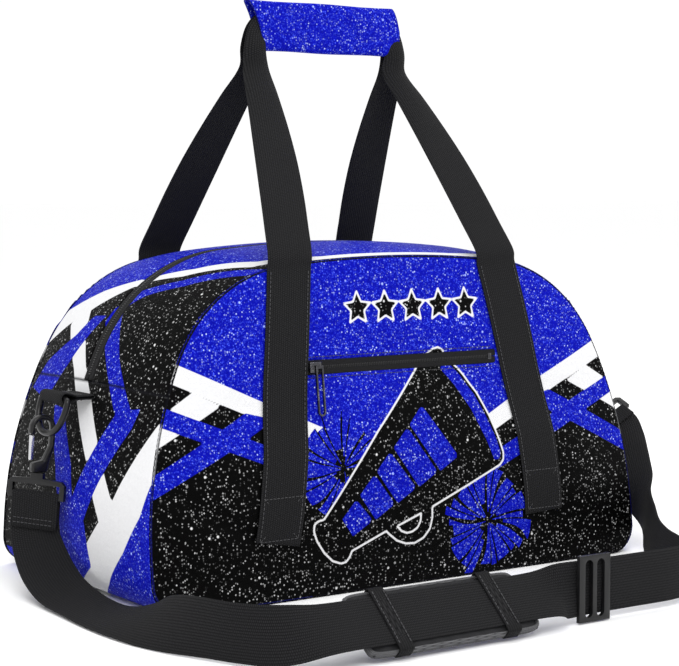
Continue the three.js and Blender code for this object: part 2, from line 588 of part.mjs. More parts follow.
const returnRun = [
  { at: V(SLIDER_X + GAP, STRAP_Y, STRAP_Z), across: upright },
  { at: V(98, STRAP_Y, STRAP_Z), across: upright },
  { at: V(119, -285, 24), across: upright },
  { at: V(134, -270, 22), across: upright },
  { at: V(147, -248, 21), across: V(0.08, 0, 1) },
  { at: V(162, -218, 20.5), across: V(0.18, -0.05, 0.98) },
  { at: V(183, -186, 21.5), across: V(0.22, -0.08, 0.97) },
  { at: V(208, -156, 26), across: V(0.18, -0.08, 0.98) },
  seam,
].map((s) => ({ ...s, thick: DOUBLE }));
const upFromPull = rightBar.pull.clone().negate();
const rightRise = [
  { ...seam, at: seam.at.clone().addScaledVector(seam.along, GAP) },
  { at: V(245, -99, 55), across: V(0.5, -0.25, 0.83) },
  ...[8, GAP].map((d) => ({ at: underBar(rightBar, d), across: rightBar.across, along: upFromPull })),
].map((s) => ({ ...s, thick: DOUBLE }));
add('strap_left_end', webbing(leftEnd), 'webbing');
add('strap_run', webbing([...leftFall, ...straight]), 'webbing');
add('strap_return', webbing(returnRun), 'webbing');
add('strap_right_end', webbing(rightRise), 'webbing');

// Tri-glide slider: a frame with a middle bar, in front of the strap.
const frameAt = V(SLIDER_X, STRAP_Y - DOUBLE / 2 - GAP - SLIDER_T / 2, STRAP_Z);
const frame = rectangle(SLIDER_LENGTH, SLIDER_HEIGHT);
const WINDOW = 7;
for (const x of [-WINDOW / 2 - 1.8, WINDOW / 2 + 1.8]) {
  const gapInFrame = new THREE.Path();
  const reach = (WEB + 2) / 2 - WINDOW / 2;
  gapInFrame.absarc(x, reach, WINDOW / 2, 0, Math.PI, false);
  gapInFrame.absarc(x, -reach, WINDOW / 2, Math.PI, 2 * Math.PI, false);
  gapInFrame.closePath();
  frame.holes.push(gapInFrame);
}
add('tri_glide', outward(plate(frame, SLIDER_T, frameAt, V(1, 0, 0), V(0, 0, 1))), 'plastic');

// Shoulder pad behind the strap, held by two bands that go round both.
const PAD_X = -104;
const padOut = V(0, -Math.cos(PAD_TILT), Math.sin(PAD_TILT)); // the strap's face, away from the pad
const padAt = V(PAD_X, STRAP_Y, STRAP_Z).addScaledVector(padOut, -(WEB_T / 2 + GAP + PAD_T / 2));
const padShape = new THREE.Shape();
padShape.moveTo(-PAD_LENGTH / 2 + 3, -PAD_HEIGHT / 2);
for (const [sx, sz] of [[1, -1], [1, 1], [-1, 1], [-1, -1]]) {
  const a = sx > 0 === sz < 0;
  const corners = [[PAD_LENGTH / 2 - 3, PAD_HEIGHT / 2], [PAD_LENGTH / 2, PAD_HEIGHT / 2 - 3]];
  const order = a ? corners : [...corners].reverse();
  order.forEach(([x, z]) => padShape.lineTo(sx * x, sz * z));
}
padShape.closePath();
add('shoulder_pad', outward(plate(padShape, PAD_T, padAt, V(1, 0, 0), padAcross)), 'webbing');
const BAND_T = 1;
const BAND_WIDTH = 12;
const bandInnerY = WEB_T + PAD_T + 3 * GAP;
const bandMiddle = V(0, STRAP_Y, STRAP_Z).addScaledVector(padOut, WEB_T / 2 + GAP - bandInnerY / 2);
for (const [name, x] of [['left', PAD_X - 44], ['right', PAD_X + 44]]) {
  const band = rectangle(bandInnerY + 2 * BAND_T, PAD_HEIGHT + 2 * (GAP + BAND_T));
  band.holes.push(rectangle(bandInnerY, PAD_HEIGHT + 2 * GAP, 0, 0, THREE.Path));
  const at = bandMiddle.clone().setX(x);
  const inward = padOut.clone().negate();
  add(`pad_band_${name}`, outward(plate(band, BAND_WIDTH, at, inward, padAcross)), 'webbing');
}

export default group;
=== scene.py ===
import math

import bmesh
import bpy
import numpy as np
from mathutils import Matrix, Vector


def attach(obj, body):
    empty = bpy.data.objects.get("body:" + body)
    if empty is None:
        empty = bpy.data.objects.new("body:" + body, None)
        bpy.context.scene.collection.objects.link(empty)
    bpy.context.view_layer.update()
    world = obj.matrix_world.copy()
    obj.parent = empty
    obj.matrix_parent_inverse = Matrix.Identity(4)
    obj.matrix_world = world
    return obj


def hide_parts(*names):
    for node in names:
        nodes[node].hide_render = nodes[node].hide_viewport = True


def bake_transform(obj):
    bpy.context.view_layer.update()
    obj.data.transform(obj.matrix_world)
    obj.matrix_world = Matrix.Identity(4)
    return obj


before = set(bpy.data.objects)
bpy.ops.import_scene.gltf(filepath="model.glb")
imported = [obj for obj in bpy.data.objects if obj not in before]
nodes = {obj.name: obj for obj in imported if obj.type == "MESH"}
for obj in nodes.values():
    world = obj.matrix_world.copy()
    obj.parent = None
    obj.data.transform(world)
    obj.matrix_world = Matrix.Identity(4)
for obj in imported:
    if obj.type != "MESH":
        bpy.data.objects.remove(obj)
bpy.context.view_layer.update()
MM = 0.001

# Camera: a long lens at the bag's front left, a little above the middle of the bag. It comes
# first, since everything below is built to be seen from here.
CAMERA_AT = np.array([-850.7, -1244.9, 297.2]) * MM
CAMERA_AIM = np.array([14.4, 0.0, 180.6]) * MM
lens_data = bpy.data.cameras.new("camera")
lens_data.lens = 100.4
lens_data.sensor_width = 36.0
camera = bpy.data.objects.new("camera", lens_data)
bpy.context.scene.collection.objects.link(camera)
camera.location = CAMERA_AT
camera.rotation_euler = Vector(CAMERA_AIM - CAMERA_AT).to_track_quat("-Z", "Y").to_euler()
bpy.context.scene.camera = camera


# Shoulder strap: two lengths of 38 mm webbing that meet at the slider, laid on the floor in front
# of the bag. The left one is a single layer, the right one is doubled back through the slider.
# Each is woven flat, folded round the bar of its hook and sewn to itself.
WEB = 38 * MM
WEB_THICK = 1.8 * MM


def unit(v):
    """Vectors divided by their lengths, along the last axis."""
    v = np.asarray(v, float)
    return v / np.linalg.norm(v, axis=-1, keepdims=True)


def smooth(rows, steps):
    """Catmull-Rom spline: each span between two rows is a cubic whose slope at a row is half the
    difference of its neighbours; steps samples a span."""
    p = np.asarray(rows, float)
    p = np.vstack([2 * p[0] - p[1], p, 2 * p[-1] - p[-2]])
    t = np.linspace(0, 1, steps, endpoint=False)[None, :, None]
    a, b, c, d = (p[i:len(p) - 3 + i, None, :] for i in range(4))
    spans = 0.5 * (2 * b + (c - a) * t + (2 * a - 5 * b + 4 * c - d) * t ** 2
                   + (3 * b - a - 3 * c + d) * t ** 3)
    return np.vstack([spans.reshape(-1, p.shape[1]), p[-2]])


def grid_faces(rows, cols, loop_rows=False, loop_cols=False):
    """Quads of a rows x cols grid of vertices, closed on itself where asked."""
    i, j = np.meshgrid(np.arange(rows if loop_rows else rows - 1),
                       np.arange(cols if loop_cols else cols - 1), indexing="ij")
    i2, j2 = (i + 1) % rows, (j + 1) % cols
    return np.stack([i * cols + j, i2 * cols + j, i2 * cols + j2, i * cols + j2], -1).reshape(-1, 4)


def new_piece(name, vertices, faces, uv=None, smooth_shading=True):
    """A mesh object at the origin from arrays of vertices and faces, with its normals outward."""
    mesh = bpy.data.meshes.new(name)
    mesh.from_pydata(np.asarray(vertices, float).tolist(), [], [list(map(int, f)) for f in faces])
    if uv is not None:
        layer = mesh.uv_layers.new(name="weave")
        loops = np.empty(len(mesh.loops), int)
        mesh.loops.foreach_get("vertex_index", loops)
        layer.data.foreach_set("uv", np.asarray(uv, np.float32)[loops].ravel())
    build = bmesh.new()
    build.from_mesh(mesh)
    bmesh.ops.recalc_face_normals(build, faces=build.faces)
    build.to_mesh(mesh)
    build.free()
    mesh.polygons.foreach_set("use_smooth", np.full(len(mesh.polygons), smooth_shading))
    mesh.update()
    piece = bpy.data.objects.new(name, mesh)
    bpy.context.scene.collection.objects.link(piece)
    return piece


def band(name, line, across, width=WEB, thick=WEB_THICK, cup=0.0, face=None):
    """A flat band with rounded edges. Its section is a stadium: x = v across the width and
    y = half the thickness times (1 - |2v|^8)^(1/2), on both faces; cup bows the section out by
    cup x (1 - (2v)^2). The weave UV is metres along and metres across."""
    line = np.asarray(line, float)
    along = unit(np.gradient(line, axis=0))
    across = unit(across - along * (across * along).sum(-1, keepdims=True))
    normal = np.cross(along, across) if face is None else unit(face)
    width = np.broadcast_to(width, len(line))[:, None]
    cup = np.broadcast_to(cup, len(line))[:, None]
    half = np.array([-0.5, -0.497, -0.487, -0.46, -0.36, -0.2, 0, 0.2, 0.36, 0.46, 0.487, 0.497, 0.5])
    lift = 0.5 * thick * np.sqrt(np.clip(1 - np.abs(2 * half) ** 8, 0, 1)) + 1e-5
    v = np.concatenate([half, half[-2:0:-1]])
    y = np.concatenate([lift, -lift[-2:0:-1]])
    side = v[None, :] * width
    out = y[None, :] + cup * (1 - (2 * v[None, :]) ** 2)
    ring = line[:, None] + side[..., None] * across[:, None] + out[..., None] * normal[:, None]
    rows, cols = ring.shape[:2]
    length = np.concatenate([[0], np.cumsum(np.linalg.norm(np.diff(line, axis=0), axis=1))])
    uv = np.stack(np.broadcast_arrays(length[:, None], side), -1).reshape(-1, 2)
    faces = grid_faces(rows, cols, loop_cols=True).tolist()
    faces += [list(range(cols)), list(range((rows - 1) * cols, rows * cols))]
    return new_piece(name, ring.reshape(-1, 3), faces, uv)


# stations of the strap, in millimetres: place, then the direction of the webbing's width
PAD_LEAN = math.radians(48)
LEAN_WAY = (0, math.sin(PAD_LEAN), math.cos(PAD_LEAN))
LEFT_BAR = np.array([-248.78, 11.03, 69.92])
LEFT_ACROSS = np.array([0.6, -0.8, -0.06])
LEFT_PULL = unit([-0.08, 0.02, -1])
RIGHT_BAR = np.array([261.49, -52.43, 97.51])
RIGHT_ACROSS = np.array([0.85, -0.09, 0.52])
RIGHT_PULL = unit([0.22, -0.84, -0.5])
left_stations = [
    (LEFT_BAR + 0.8 * LEFT_PULL, LEFT_ACROSS), (LEFT_BAR + 12 * LEFT_PULL, LEFT_ACROSS),
    (LEFT_BAR + 23 * LEFT_PULL, LEFT_ACROSS),
    ((-251, 4, 34), (0.7, -0.66, 0.2)), ((-252, -14, 20), (0.85, -0.4, 0.28)),
    ((-253, -40, 10), (0.95, -0.1, 0.3)), ((-254, -78, 6), (0.98, 0, 0.18)),
    ((-256, -115, 6.5), (0.97, 0, 0.25)), ((-257, -152, 11), (0.86, 0, 0.5)),
    ((-257, -190, 17), (0.5, 0, 0.86)), ((-252, -226, 20.5), (0.15, 0, 0.99)),
    ((-241, -258, 21), (0, 0.1, 1)), ((-224, -280, 21.5), (0, 0.4, 0.92)),
    ((-196, -290, 24), LEAN_WAY), ((-140, -290, 24), LEAN_WAY), ((-80, -290, 24), LEAN_WAY),
    ((-20, -290, 24), LEAN_WAY), ((0, -290, 24), (0, 0.25, 0.97)), ((22, -290, 24), (0, 0, 1)),
]
right_stations = [
    (RIGHT_BAR + 0.8 * RIGHT_PULL, RIGHT_ACROSS), (RIGHT_BAR + 9 * RIGHT_PULL, RIGHT_ACROSS),
    ((258.5, -73, 77), (0.72, -0.2, 0.67)),
    ((245, -99, 55), (0.5, -0.25, 0.83)), ((232, -126, 37), (0.1, -0.05, 1)),
    ((208, -156, 26), (0.18, -0.08, 0.98)), ((183, -186, 21.5), (0.22, -0.08, 0.97)),
    ((162, -218, 20.5), (0.18, -0.05, 0.98)), ((147, -248, 21), (0.08, 0, 1)),
    ((134, -270, 22), (0, 0, 1)), ((119, -285, 24), (0, 0, 1)), ((98, -290, 24), (0, 0, 1)),
    ((60, -290, 24), (0, 0, 1)), ((24, -290, 24), (0, 0, 1)),
]
strap_pieces = {}
for name, stations, hanger, cad_nodes, thick in (
        ("strap_left", left_stations, "left_hanger", ("strap_left_end", "strap_run"), 1.0),
        ("strap_right", right_stations, "right_hanger", ("strap_right_end", "strap_return"), 1.9)):
    place = smooth([s[0] for s in stations], 8) * MM
    way = smooth([unit(s[1]) for s in stations], 8)
    strap = band(name, place, way, thick=thick * WEB_THICK)
    strap_pieces[name] = (strap, place)


def tint(material_node, socket, colour):
    """Sets a colour socket to an RGB colour with full alpha."""
    material_node.inputs[socket].default_value = (*colour, 1)


def wire(tree, *pairs):
    """Links pairs of sockets, each from an output to an input."""
    for start, end in pairs:
        tree.links.new(start, end)


def calculator(tree):
    """A function that adds a Math node to a tree and gives back its output; its values are numbers
    or sockets."""
    def maths(operation, *values):
        node = tree.nodes.new("ShaderNodeMath")
        node.operation = operation
        for socket, value in zip(node.inputs, values):
            if isinstance(value, (int, float)):
                socket.default_value = value
            else:
                tree.links.new(value, socket)
        return node.outputs[0]
    return maths


def fading(tree, nought, one):
    """A Map Range node that gives 0 at nought and 1 at one."""
    node = tree.nodes.new("ShaderNodeMapRange")
    node.inputs["From Min"].default_value = nought
    node.inputs["From Max"].default_value = one
    return node


def weave_group():
    """Plain woven webbing. Two sine waves, along and across, make the ribs: each thread's height is |sin(pi u
    / rib)|^0.6 x |sin(pi v / pick)|^0.5, shifted half a rib on every other pick. The second output, the
    height times noise, is painted light for the colour: painted shade in the gaps between threads and a
    painted highlight on their crowns, with the noise varying the tone at random."""
    group = bpy.data.node_groups.new("webbing weave", "ShaderNodeTree")
    face = group.interface
    face.new_socket("Vector", in_out="INPUT", socket_type="NodeSocketVector")
    for label, value in (("Rib", 0.0013), ("Pick", 0.0019)):
        face.new_socket(label, in_out="INPUT", socket_type="NodeSocketFloat").default_value = value
    face.new_socket("Height", in_out="OUTPUT", socket_type="NodeSocketFloat")
    face.new_socket("Light", in_out="OUTPUT", socket_type="NodeSocketFloat")
    new = group.nodes.new
    inside, outside = new("NodeGroupInput"), new("NodeGroupOutput")
    split = new("ShaderNodeSeparateXYZ")
    wire(group, (inside.outputs["Vector"], split.inputs[0]))

    maths = calculator(group)
    u = maths("DIVIDE", split.outputs[0], inside.outputs["Rib"])
    v = maths("DIVIDE", split.outputs[1], inside.outputs["Pick"])
    shift = maths("MULTIPLY", maths("FLOORED_MODULO", maths("FLOOR", v), 2.0), 0.5)
    thread = maths("ABSOLUTE", maths("SINE", maths("MULTIPLY", maths("ADD", u, shift), math.pi)))
    pick = maths("ABSOLUTE", maths("SINE", maths("MULTIPLY", v, math.pi)))
    height = maths("MULTIPLY", maths("POWER", thread, 0.6), maths("POWER", pick, 0.5))
    fuzz = new("ShaderNodeTexNoise")
    fuzz.inputs["Scale"].default_value = 900
    fuzz.inputs["Detail"].default_value = 2
    wire(group, (inside.outputs["Vector"], fuzz.inputs["Vector"]))
    # painted light: full on the thread crowns, none in the gaps where shade falls, times noise that varies
    # the tone at random
    light = maths("MULTIPLY", height, maths("ADD", maths("MULTIPLY", fuzz.outputs[0], 1.2), 0.4))
    wire(group, (height, outside.inputs["Height"]), (light, outside.inputs["Light"]))
    return group


def plain_material(name):
    """A new material and its Principled shader."""
    material = bpy.data.materials.new(name)
    material.use_nodes = True
    shader = next(n for n in material.node_tree.nodes if n.type == "BSDF_PRINCIPLED")
    return material, material.node_tree, shader


weave = weave_group()


def woven(name, dark, light, rib=0.0013, pick=0.0019, rough=0.82, bump=0.35):
    """Webbing or tape: ribs lighter than the gaps, as painted shade in the gaps and a painted highlight on
    the ribs, varied at random by noise; soft sheen, and the same ribs as bump. dark is the painted-shade
    colour and light the painted-highlight colour.
    """
    material, tree, shader = plain_material(name)
    new = tree.nodes.new
    where = new("ShaderNodeUVMap")
    where.uv_map = "weave"
    ribs = new("ShaderNodeGroup")
    ribs.node_tree = weave
    ribs.inputs["Rib"].default_value = rib
    ribs.inputs["Pick"].default_value = pick
    mix = new("ShaderNodeMix")
    mix.data_type = "RGBA"
    mix.inputs["A"].default_value = (*dark, 1)
    mix.inputs["B"].default_value = (*light, 1)
    relief = new("ShaderNodeBump")
    relief.inputs["Strength"].default_value = bump
    relief.inputs["Distance"].default_value = 0.0004
    # the colour follows the rib height: painted shade in the gaps, painted highlight on the ribs
    wire(tree, (where.outputs[0], ribs.inputs["Vector"]), (ribs.outputs["Light"], mix.inputs["Factor"]),
         (mix.outputs["Result"], shader.inputs["Base Color"]),
         (ribs.outputs["Height"], relief.inputs["Height"]), (relief.outputs[0], shader.inputs["Normal"]))
    shader.inputs["Roughness"].default_value = rough
    shader.inputs["Sheen Weight"].default_value = 0.01
    shader.inputs["Specular IOR Level"].default_value = 0.09
    return material


# its two colours: painted shade in the weave's gaps, painted highlight on its ribs
webbing_cloth = woven("black webbing", (0.0015, 0.0015, 0.002), (0.0175, 0.0175, 0.0185), bump=0.8)


def dress(piece, material, body, slot_name, *cad_nodes):
    """Gives a finished piece its material and the body that it rides on, and hides the CAD nodes that it
    replaces. slot_name is not used.
    """
    piece.data.materials.clear()
    piece.data.materials.append(material)
    if body:
        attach(piece, body)
    if cad_nodes:
        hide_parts(*cad_nodes)
    return piece


def bead(length, width, height):
    """A small rounded block, a superellipsoid: three rings of eight points, and its poles along X."""
    def power(w):
        return np.sign(w) * np.abs(w) ** 0.55

    a = np.linspace(-math.pi / 2, math.pi / 2, 5)[1:-1, None]
    b = np.linspace(0, 2 * math.pi, 8, endpoint=False)[None, :]
    x = 0.5 * length * power(np.sin(a)) * np.ones_like(b)
    y = 0.5 * width * power(np.cos(a)) * power(np.cos(b))
    z = 0.5 * height * power(np.cos(a)) * power(np.sin(b))
    points = np.stack([x, y, z], -1).reshape(-1, 3)
    points = np.vstack([points, [-0.5 * length, 0, 0], [0.5 * length, 0, 0]])
    faces = grid_faces(3, 8, loop_cols=True).tolist()
    faces += [[24, (j + 1) % 8, j] for j in range(8)]
    faces += [[25, 16 + j, 16 + (j + 1) % 8] for j in range(8)]
    return points, faces


def repeated(name, shape, places, x_way, z_way):
    """One mesh of a small shape at many places, its X along x_way and its Z near z_way."""
    points, faces = shape
    x = unit(x_way)
    y = unit(np.cross(z_way, x))
    z = np.cross(x, y)
    turned = (points[None, :, 0:1] * x[:, None] + points[None, :, 1:2] * y[:, None]
              + points[None, :, 2:3] * z[:, None] + np.asarray(places)[:, None])
    count = len(points)
    every = [[v + k * count for v in f] for k in range(len(turned)) for f in faces]
    return new_piece(name, turned.reshape(-1, 3), every)


def stitched(name, rows, pitch=0.0032, thread=0.0006):
    """Sewing along rows of points: each row is (points, normal), with a stitch every pitch."""
    places, ways, ups = [], [], []
    for points, normal in rows:
        points = np.asarray(points, float)
        run = np.concatenate([[0], np.cumsum(np.linalg.norm(np.diff(points, axis=0), axis=1))])
        mids = np.arange(pitch / 2, run[-1], pitch)
        at = np.stack([np.interp(mids, run, points[:, k]) for k in range(3)], -1)
        ahead = np.stack([np.interp(mids + 1e-4, run, points[:, k]) for k in range(3)], -1)
        back = np.stack([np.interp(mids - 1e-4, run, points[:, k]) for k in range(3)], -1)
        normals = np.broadcast_to(normal, points.shape)
        up = np.stack([np.interp(mids, run, normals[:, k]) for k in range(3)], -1)
        places.append(at)
        ways.append(ahead - back)
        ups.append(up)
    return repeated(name, bead(0.8 * pitch, thread, thread), np.vstack(places), np.vstack(ways),
                    np.vstack(ups))


thread_material, thread_tree, thread_shader = plain_material("sewing thread")
thread_twist = thread_tree.nodes.new("ShaderNodeTexNoise")
thread_twist.inputs["Scale"].default_value = 2500
thread_place = thread_tree.nodes.new("ShaderNodeTexCoord")
thread_tone = thread_tree.nodes.new("ShaderNodeMix")
thread_tone.data_type = "RGBA"
tint(thread_tone, "A", (0.012, 0.012, 0.013))
tint(thread_tone, "B", (0.06, 0.06, 0.065))
wire(thread_tree, (thread_place.outputs["Object"], thread_twist.inputs["Vector"]),
     (thread_twist.outputs[0], thread_tone.inputs["Factor"]),
     (thread_tone.outputs["Result"], thread_shader.inputs["Base Color"]))
thread_shader.inputs["Roughness"].default_value = 0.6

for name, bar, pull, across, hanger in (
        ("left", LEFT_BAR, LEFT_PULL, unit(LEFT_ACROSS), "left_hanger"),
        ("right", RIGHT_BAR, RIGHT_PULL, unit(RIGHT_ACROSS), "right_hanger")):
    across = unit(across - pull * (across @ pull))
    face = np.cross(pull, across)
    turn = np.linspace(0, math.pi, 13)[:, None]
    offset = (2.1 if name == "left" else 2.9)
    eye = 2.6
    # the fold: up one face of the strap, round the loop's bar and down the other face
    up_leg = bar + pull * np.linspace(22 if name == "left" else 9, 1, 6)[:, None]
    arc = bar - pull * 2.2 - pull * np.sin(turn) * eye + face * np.cos(turn) * eye
    fold_line = np.vstack([up_leg + face * offset, arc, up_leg[::-1] - face * offset])
    fold = band(f"strap_fold_{name}", fold_line * MM, across, thick=1.5 * MM, width=WEB * 0.99)
    dress(fold, webbing_cloth, hanger, "webbing")
    if name == "left":
        seam_rows = []
        for d in (15, 18.5):
            for s in (-1, 1):
                ends = bar + pull * d + face * s * (offset + 0.85) + across * np.array([[-16.5], [16.5]])
                seam_rows.append((ends * MM, face * s))
        dress(stitched("strap_fold_left_stitches", seam_rows), thread_material, hanger, "webbing")

strap_left, left_line = strap_pieces["strap_left"]
strap_right, right_line = strap_pieces["strap_right"]
dress(strap_left, webbing_cloth, None, "webbing", "strap_left_end", "strap_run")
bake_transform(strap_left)
dress(strap_right, webbing_cloth, None, "webbing", "strap_right_end", "strap_return")
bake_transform(strap_right)


# Shoulder pad: a strip of foam covered in black cloth, bound round its edge, lying behind the
# strap. Two loops of narrow webbing, sewn to the pad, hold the strap on its face.
PAD_MIDDLE = np.array([-104, -287.19, 20.88])
LEAN = np.array(LEAN_WAY)
PAD_OUT = np.array([0, -math.cos(PAD_LEAN), math.sin(PAD_LEAN)])
PAD_HALF = (69.0, 23.5, 3.0)


def superpower(w, p):
    """Signed power, for superellipses."""
    return np.sign(w) * np.abs(w) ** p


def pad_section(angle, half_up, half_out, corner):
    """Superellipse section: (half_up cos^corner, half_out sin^corner)."""
    return (half_up * superpower(np.cos(angle), corner), half_out * superpower(np.sin(angle), corner))


rows, around = 72, 56
s = np.linspace(-1, 1, rows)[1:-1, None]
a = np.linspace(0, 2 * math.pi, around, endpoint=False)[None, :]
ends = (1 - np.abs(s) ** 14) ** 0.5
up, out = pad_section(a, PAD_HALF[1], 1.0, 0.3)
# quilted: the foam is full between the loops and pinched under them
pinch = 1 - 0.22 * sum(np.exp(-((s * PAD_HALF[0] - x) / 7) ** 2) for x in (-44, 44))
crown = 1 - 0.25 * (up / PAD_HALF[1]) ** 6
x = PAD_MIDDLE[0] + s * PAD_HALF[0] + 0 * up
upward = up * (0.93 + 0.07 * ends)
outward = out * PAD_HALF[2] * pinch * crown * ends + 0.25 * np.sin(s * 31 + up * 0.21) * ends
body_points = (x[..., None] * np.array([1, 0, 0])
               + (PAD_MIDDLE + 0 * x[..., None]) * np.array([0, 1, 1])
               + upward[..., None] * LEAN + outward[..., None] * PAD_OUT).reshape(-1, 3)
tips = [PAD_MIDDLE + np.array([e * PAD_HALF[0], 0, 0]) for e in (-1, 1)]
pad_points = np.vstack([body_points, tips]) * MM
last = (rows - 3) * around
pad_faces = grid_faces(rows - 2, around, loop_cols=True).tolist()
pad_faces += [[len(body_points), (j + 1) % around, j] for j in range(around)]
pad_faces += [[len(body_points) + 1, last + j, last + (j + 1) % around] for j in range(around)]
pad_uv = np.vstack([np.stack([x * MM, np.broadcast_to(upward, x.shape) * MM], -1).reshape(-1, 2),
                    [[0, 0], [0, 0]]])
pad = new_piece("shoulder_pad_foam", pad_points, pad_faces, pad_uv)
# its two colours: painted shade in the weave's gaps, painted highlight on its ribs
pad_cloth = woven("pad cloth", (0.010, 0.010, 0.011), (0.030, 0.030, 0.032), 0.0009, 0.0009, 0.75, 0.25)
dress(pad, pad_cloth, "shoulder_pad", "foam", "shoulder_pad")

# the binding is a narrow tape folded over the pad's edge
t = np.linspace(0, 2 * math.pi, 160, endpoint=False)
edge_x, edge_up = pad_section(t, PAD_HALF[0] - 0.6, PAD_HALF[1] - 0.6, 0.14)
edge_line = PAD_MIDDLE + edge_x[:, None] * np.array([1, 0, 0]) + edge_up[:, None] * LEAN
b = np.linspace(0, 2 * math.pi, 12, endpoint=False)
edge_way = unit(np.roll(edge_line, -1, 0) - np.roll(edge_line, 1, 0))
edge_side = np.cross(edge_way, PAD_OUT)
binding = (edge_line[:, None] + 1.3 * superpower(np.cos(b), 0.7)[None, :, None] * edge_side[:, None]
           + 2.9 * superpower(np.sin(b), 0.7)[None, :, None] * PAD_OUT)
binding_uv = np.stack(np.broadcast_arrays((np.arange(160) * 2.4 * MM)[:, None], b[None, :] * 2 * MM), -1)
pad_binding = new_piece("shoulder_pad_binding", binding.reshape(-1, 3) * MM,
                        grid_faces(160, 12, True, True), binding_uv.reshape(-1, 2))
# its two colours: painted shade in the weave's gaps, painted highlight on its ribs
binding_cloth = woven("binding tape", (0.03, 0.03, 0.032), (0.12, 0.12, 0.125), 0.0008, 0.0012, 0.7)
dress(pad_binding, binding_cloth, "shoulder_pad", "foam")

BAND_MIDDLE = np.array([0, -290, 24]) + PAD_OUT * (0.9 + 0.3 - 8.7 / 2)
for name, x_at in (("left", -148.0), ("right", -60.0)):
    up, out = pad_section(np.linspace(0, 2 * math.pi, 97)[:-1], 24.4, 4.95, 0.24)
    ring = BAND_MIDDLE + np.array([x_at, 0, 0]) + up[:, None] * LEAN + out[:, None] * PAD_OUT
    away = unit(ring - (BAND_MIDDLE + np.array([x_at, 0, 0])))
    section = [(-6, 0), (-5.6, 0.5), (5.6, 0.5), (6, 0), (5.6, -0.5), (-5.6, -0.5)]
    loop = np.stack([ring + w * np.array([1, 0, 0]) + h * away for w, h in section], 1)
    loop_uv = np.stack(np.broadcast_arrays((np.arange(96) * 1.5 * MM)[:, None],
                                           np.array([w for w, _ in section])[None, :] * MM), -1)
    pad_loop = new_piece(f"pad_loop_{name}", loop.reshape(-1, 3) * MM, grid_faces(96, 6, True, True),
                         loop_uv.reshape(-1, 2))
    dress(pad_loop, webbing_cloth, "shoulder_pad", "webbing", f"pad_band_{name}")
    rows_of_thread = []
    for side in (-4.4, 4.4):
        top = BAND_MIDDLE + np.array([x_at + side, 0, 0]) + PAD_OUT * 5.6
        rows_of_thread.append(((top + LEAN * np.array([[-20.5], [20.5]])) * MM, PAD_OUT))
    dress(stitched(f"pad_loop_{name}_stitches", rows_of_thread), thread_material, "shoulder_pad", "webbing")


# Hooks, gates, swivel loops, slider and zip sliders: moulded in acetal or cast in zinc. Each keeps
# its solid's shape, with the edges rounded as a mould or a tumbling barrel leaves them.
def edge_wear_group():
    """Scuffs on hard pieces: worn where a coarse noise and a fine noise are both high."""
    group = bpy.data.node_groups.new("scuffs", "ShaderNodeTree")
    face = group.interface
    face.new_socket("Vector", in_out="INPUT", socket_type="NodeSocketVector")
    face.new_socket("Amount", in_out="INPUT", socket_type="NodeSocketFloat").default_value = 0.4
    face.new_socket("Mask", in_out="OUTPUT", socket_type="NodeSocketFloat")
    face.new_socket("Grain", in_out="OUTPUT", socket_type="NodeSocketFloat")
    new = group.nodes.new
    inside, outside = new("NodeGroupInput"), new("NodeGroupOutput")
    coarse, fine, mix, ramp = (new("ShaderNodeTexNoise"), new("ShaderNodeTexNoise"),
                               new("ShaderNodeMath"), new("ShaderNodeMapRange"))
    coarse.inputs["Scale"].default_value = 120
    fine.inputs["Scale"].default_value = 1500
    fine.inputs["Detail"].default_value = 4
    mix.operation = "MULTIPLY"
    ramp.inputs["From Min"].default_value = 0.25
    ramp.inputs["From Max"].default_value = 0.5
    wire(group, (inside.outputs["Vector"], coarse.inputs["Vector"]),
         (inside.outputs["Vector"], fine.inputs["Vector"]),
         (coarse.outputs[0], mix.inputs[0]), (fine.outputs[0], mix.inputs[1]),
         (mix.outputs[0], ramp.inputs["Value"]), (inside.outputs["Amount"], ramp.inputs["To Max"]),
         (ramp.outputs["Result"], outside.inputs["Mask"]), (fine.outputs[0], outside.inputs["Grain"]))
    return group


scuffs = edge_wear_group()


def hard(name, colour, worn, rough, worn_rough, metallic=0.0, amount=0.5, bump=0.08):
    """Plastic or metal: two tones mixed by scuffs, which also change the roughness."""
    material, tree, shader = plain_material(name)
    new = tree.nodes.new
    place, marks, tone, gloss, relief = (new("ShaderNodeTexCoord"), new("ShaderNodeGroup"),
                                         new("ShaderNodeMix"), new("ShaderNodeMapRange"),
                                         new("ShaderNodeBump"))
    marks.node_tree = scuffs
    marks.inputs["Amount"].default_value = amount
    tone.data_type = "RGBA"
    tint(tone, "A", colour)
    tint(tone, "B", worn)
    gloss.inputs["To Min"].default_value = rough
    gloss.inputs["To Max"].default_value = worn_rough
    relief.inputs["Strength"].default_value = bump
    relief.inputs["Distance"].default_value = 0.0002
    wire(tree, (place.outputs["Object"], marks.inputs["Vector"]),
         (marks.outputs["Mask"], tone.inputs["Factor"]),
         (tone.outputs["Result"], shader.inputs["Base Color"]),
         (marks.outputs["Mask"], gloss.inputs["Value"]),
         (gloss.outputs["Result"], shader.inputs["Roughness"]),
         (marks.outputs["Grain"], relief.inputs["Height"]), (relief.outputs[0], shader.inputs["Normal"]))
    shader.inputs["Metallic"].default_value = metallic
    shader.inputs["Specular IOR Level"].default_value = 0.3
    return material


acetal = hard("black acetal", (0.006, 0.006, 0.0065), (0.022, 0.022, 0.023), 0.30, 0.5)
gunmetal = hard("dark zinc", (0.05, 0.05, 0.055), (0.32, 0.32, 0.34), 0.25, 0.4, 1.0, 0.6)
spring_steel = hard("spring steel", (0.55, 0.55, 0.57), (0.75, 0.75, 0.76), 0.22, 0.35, 1.0)


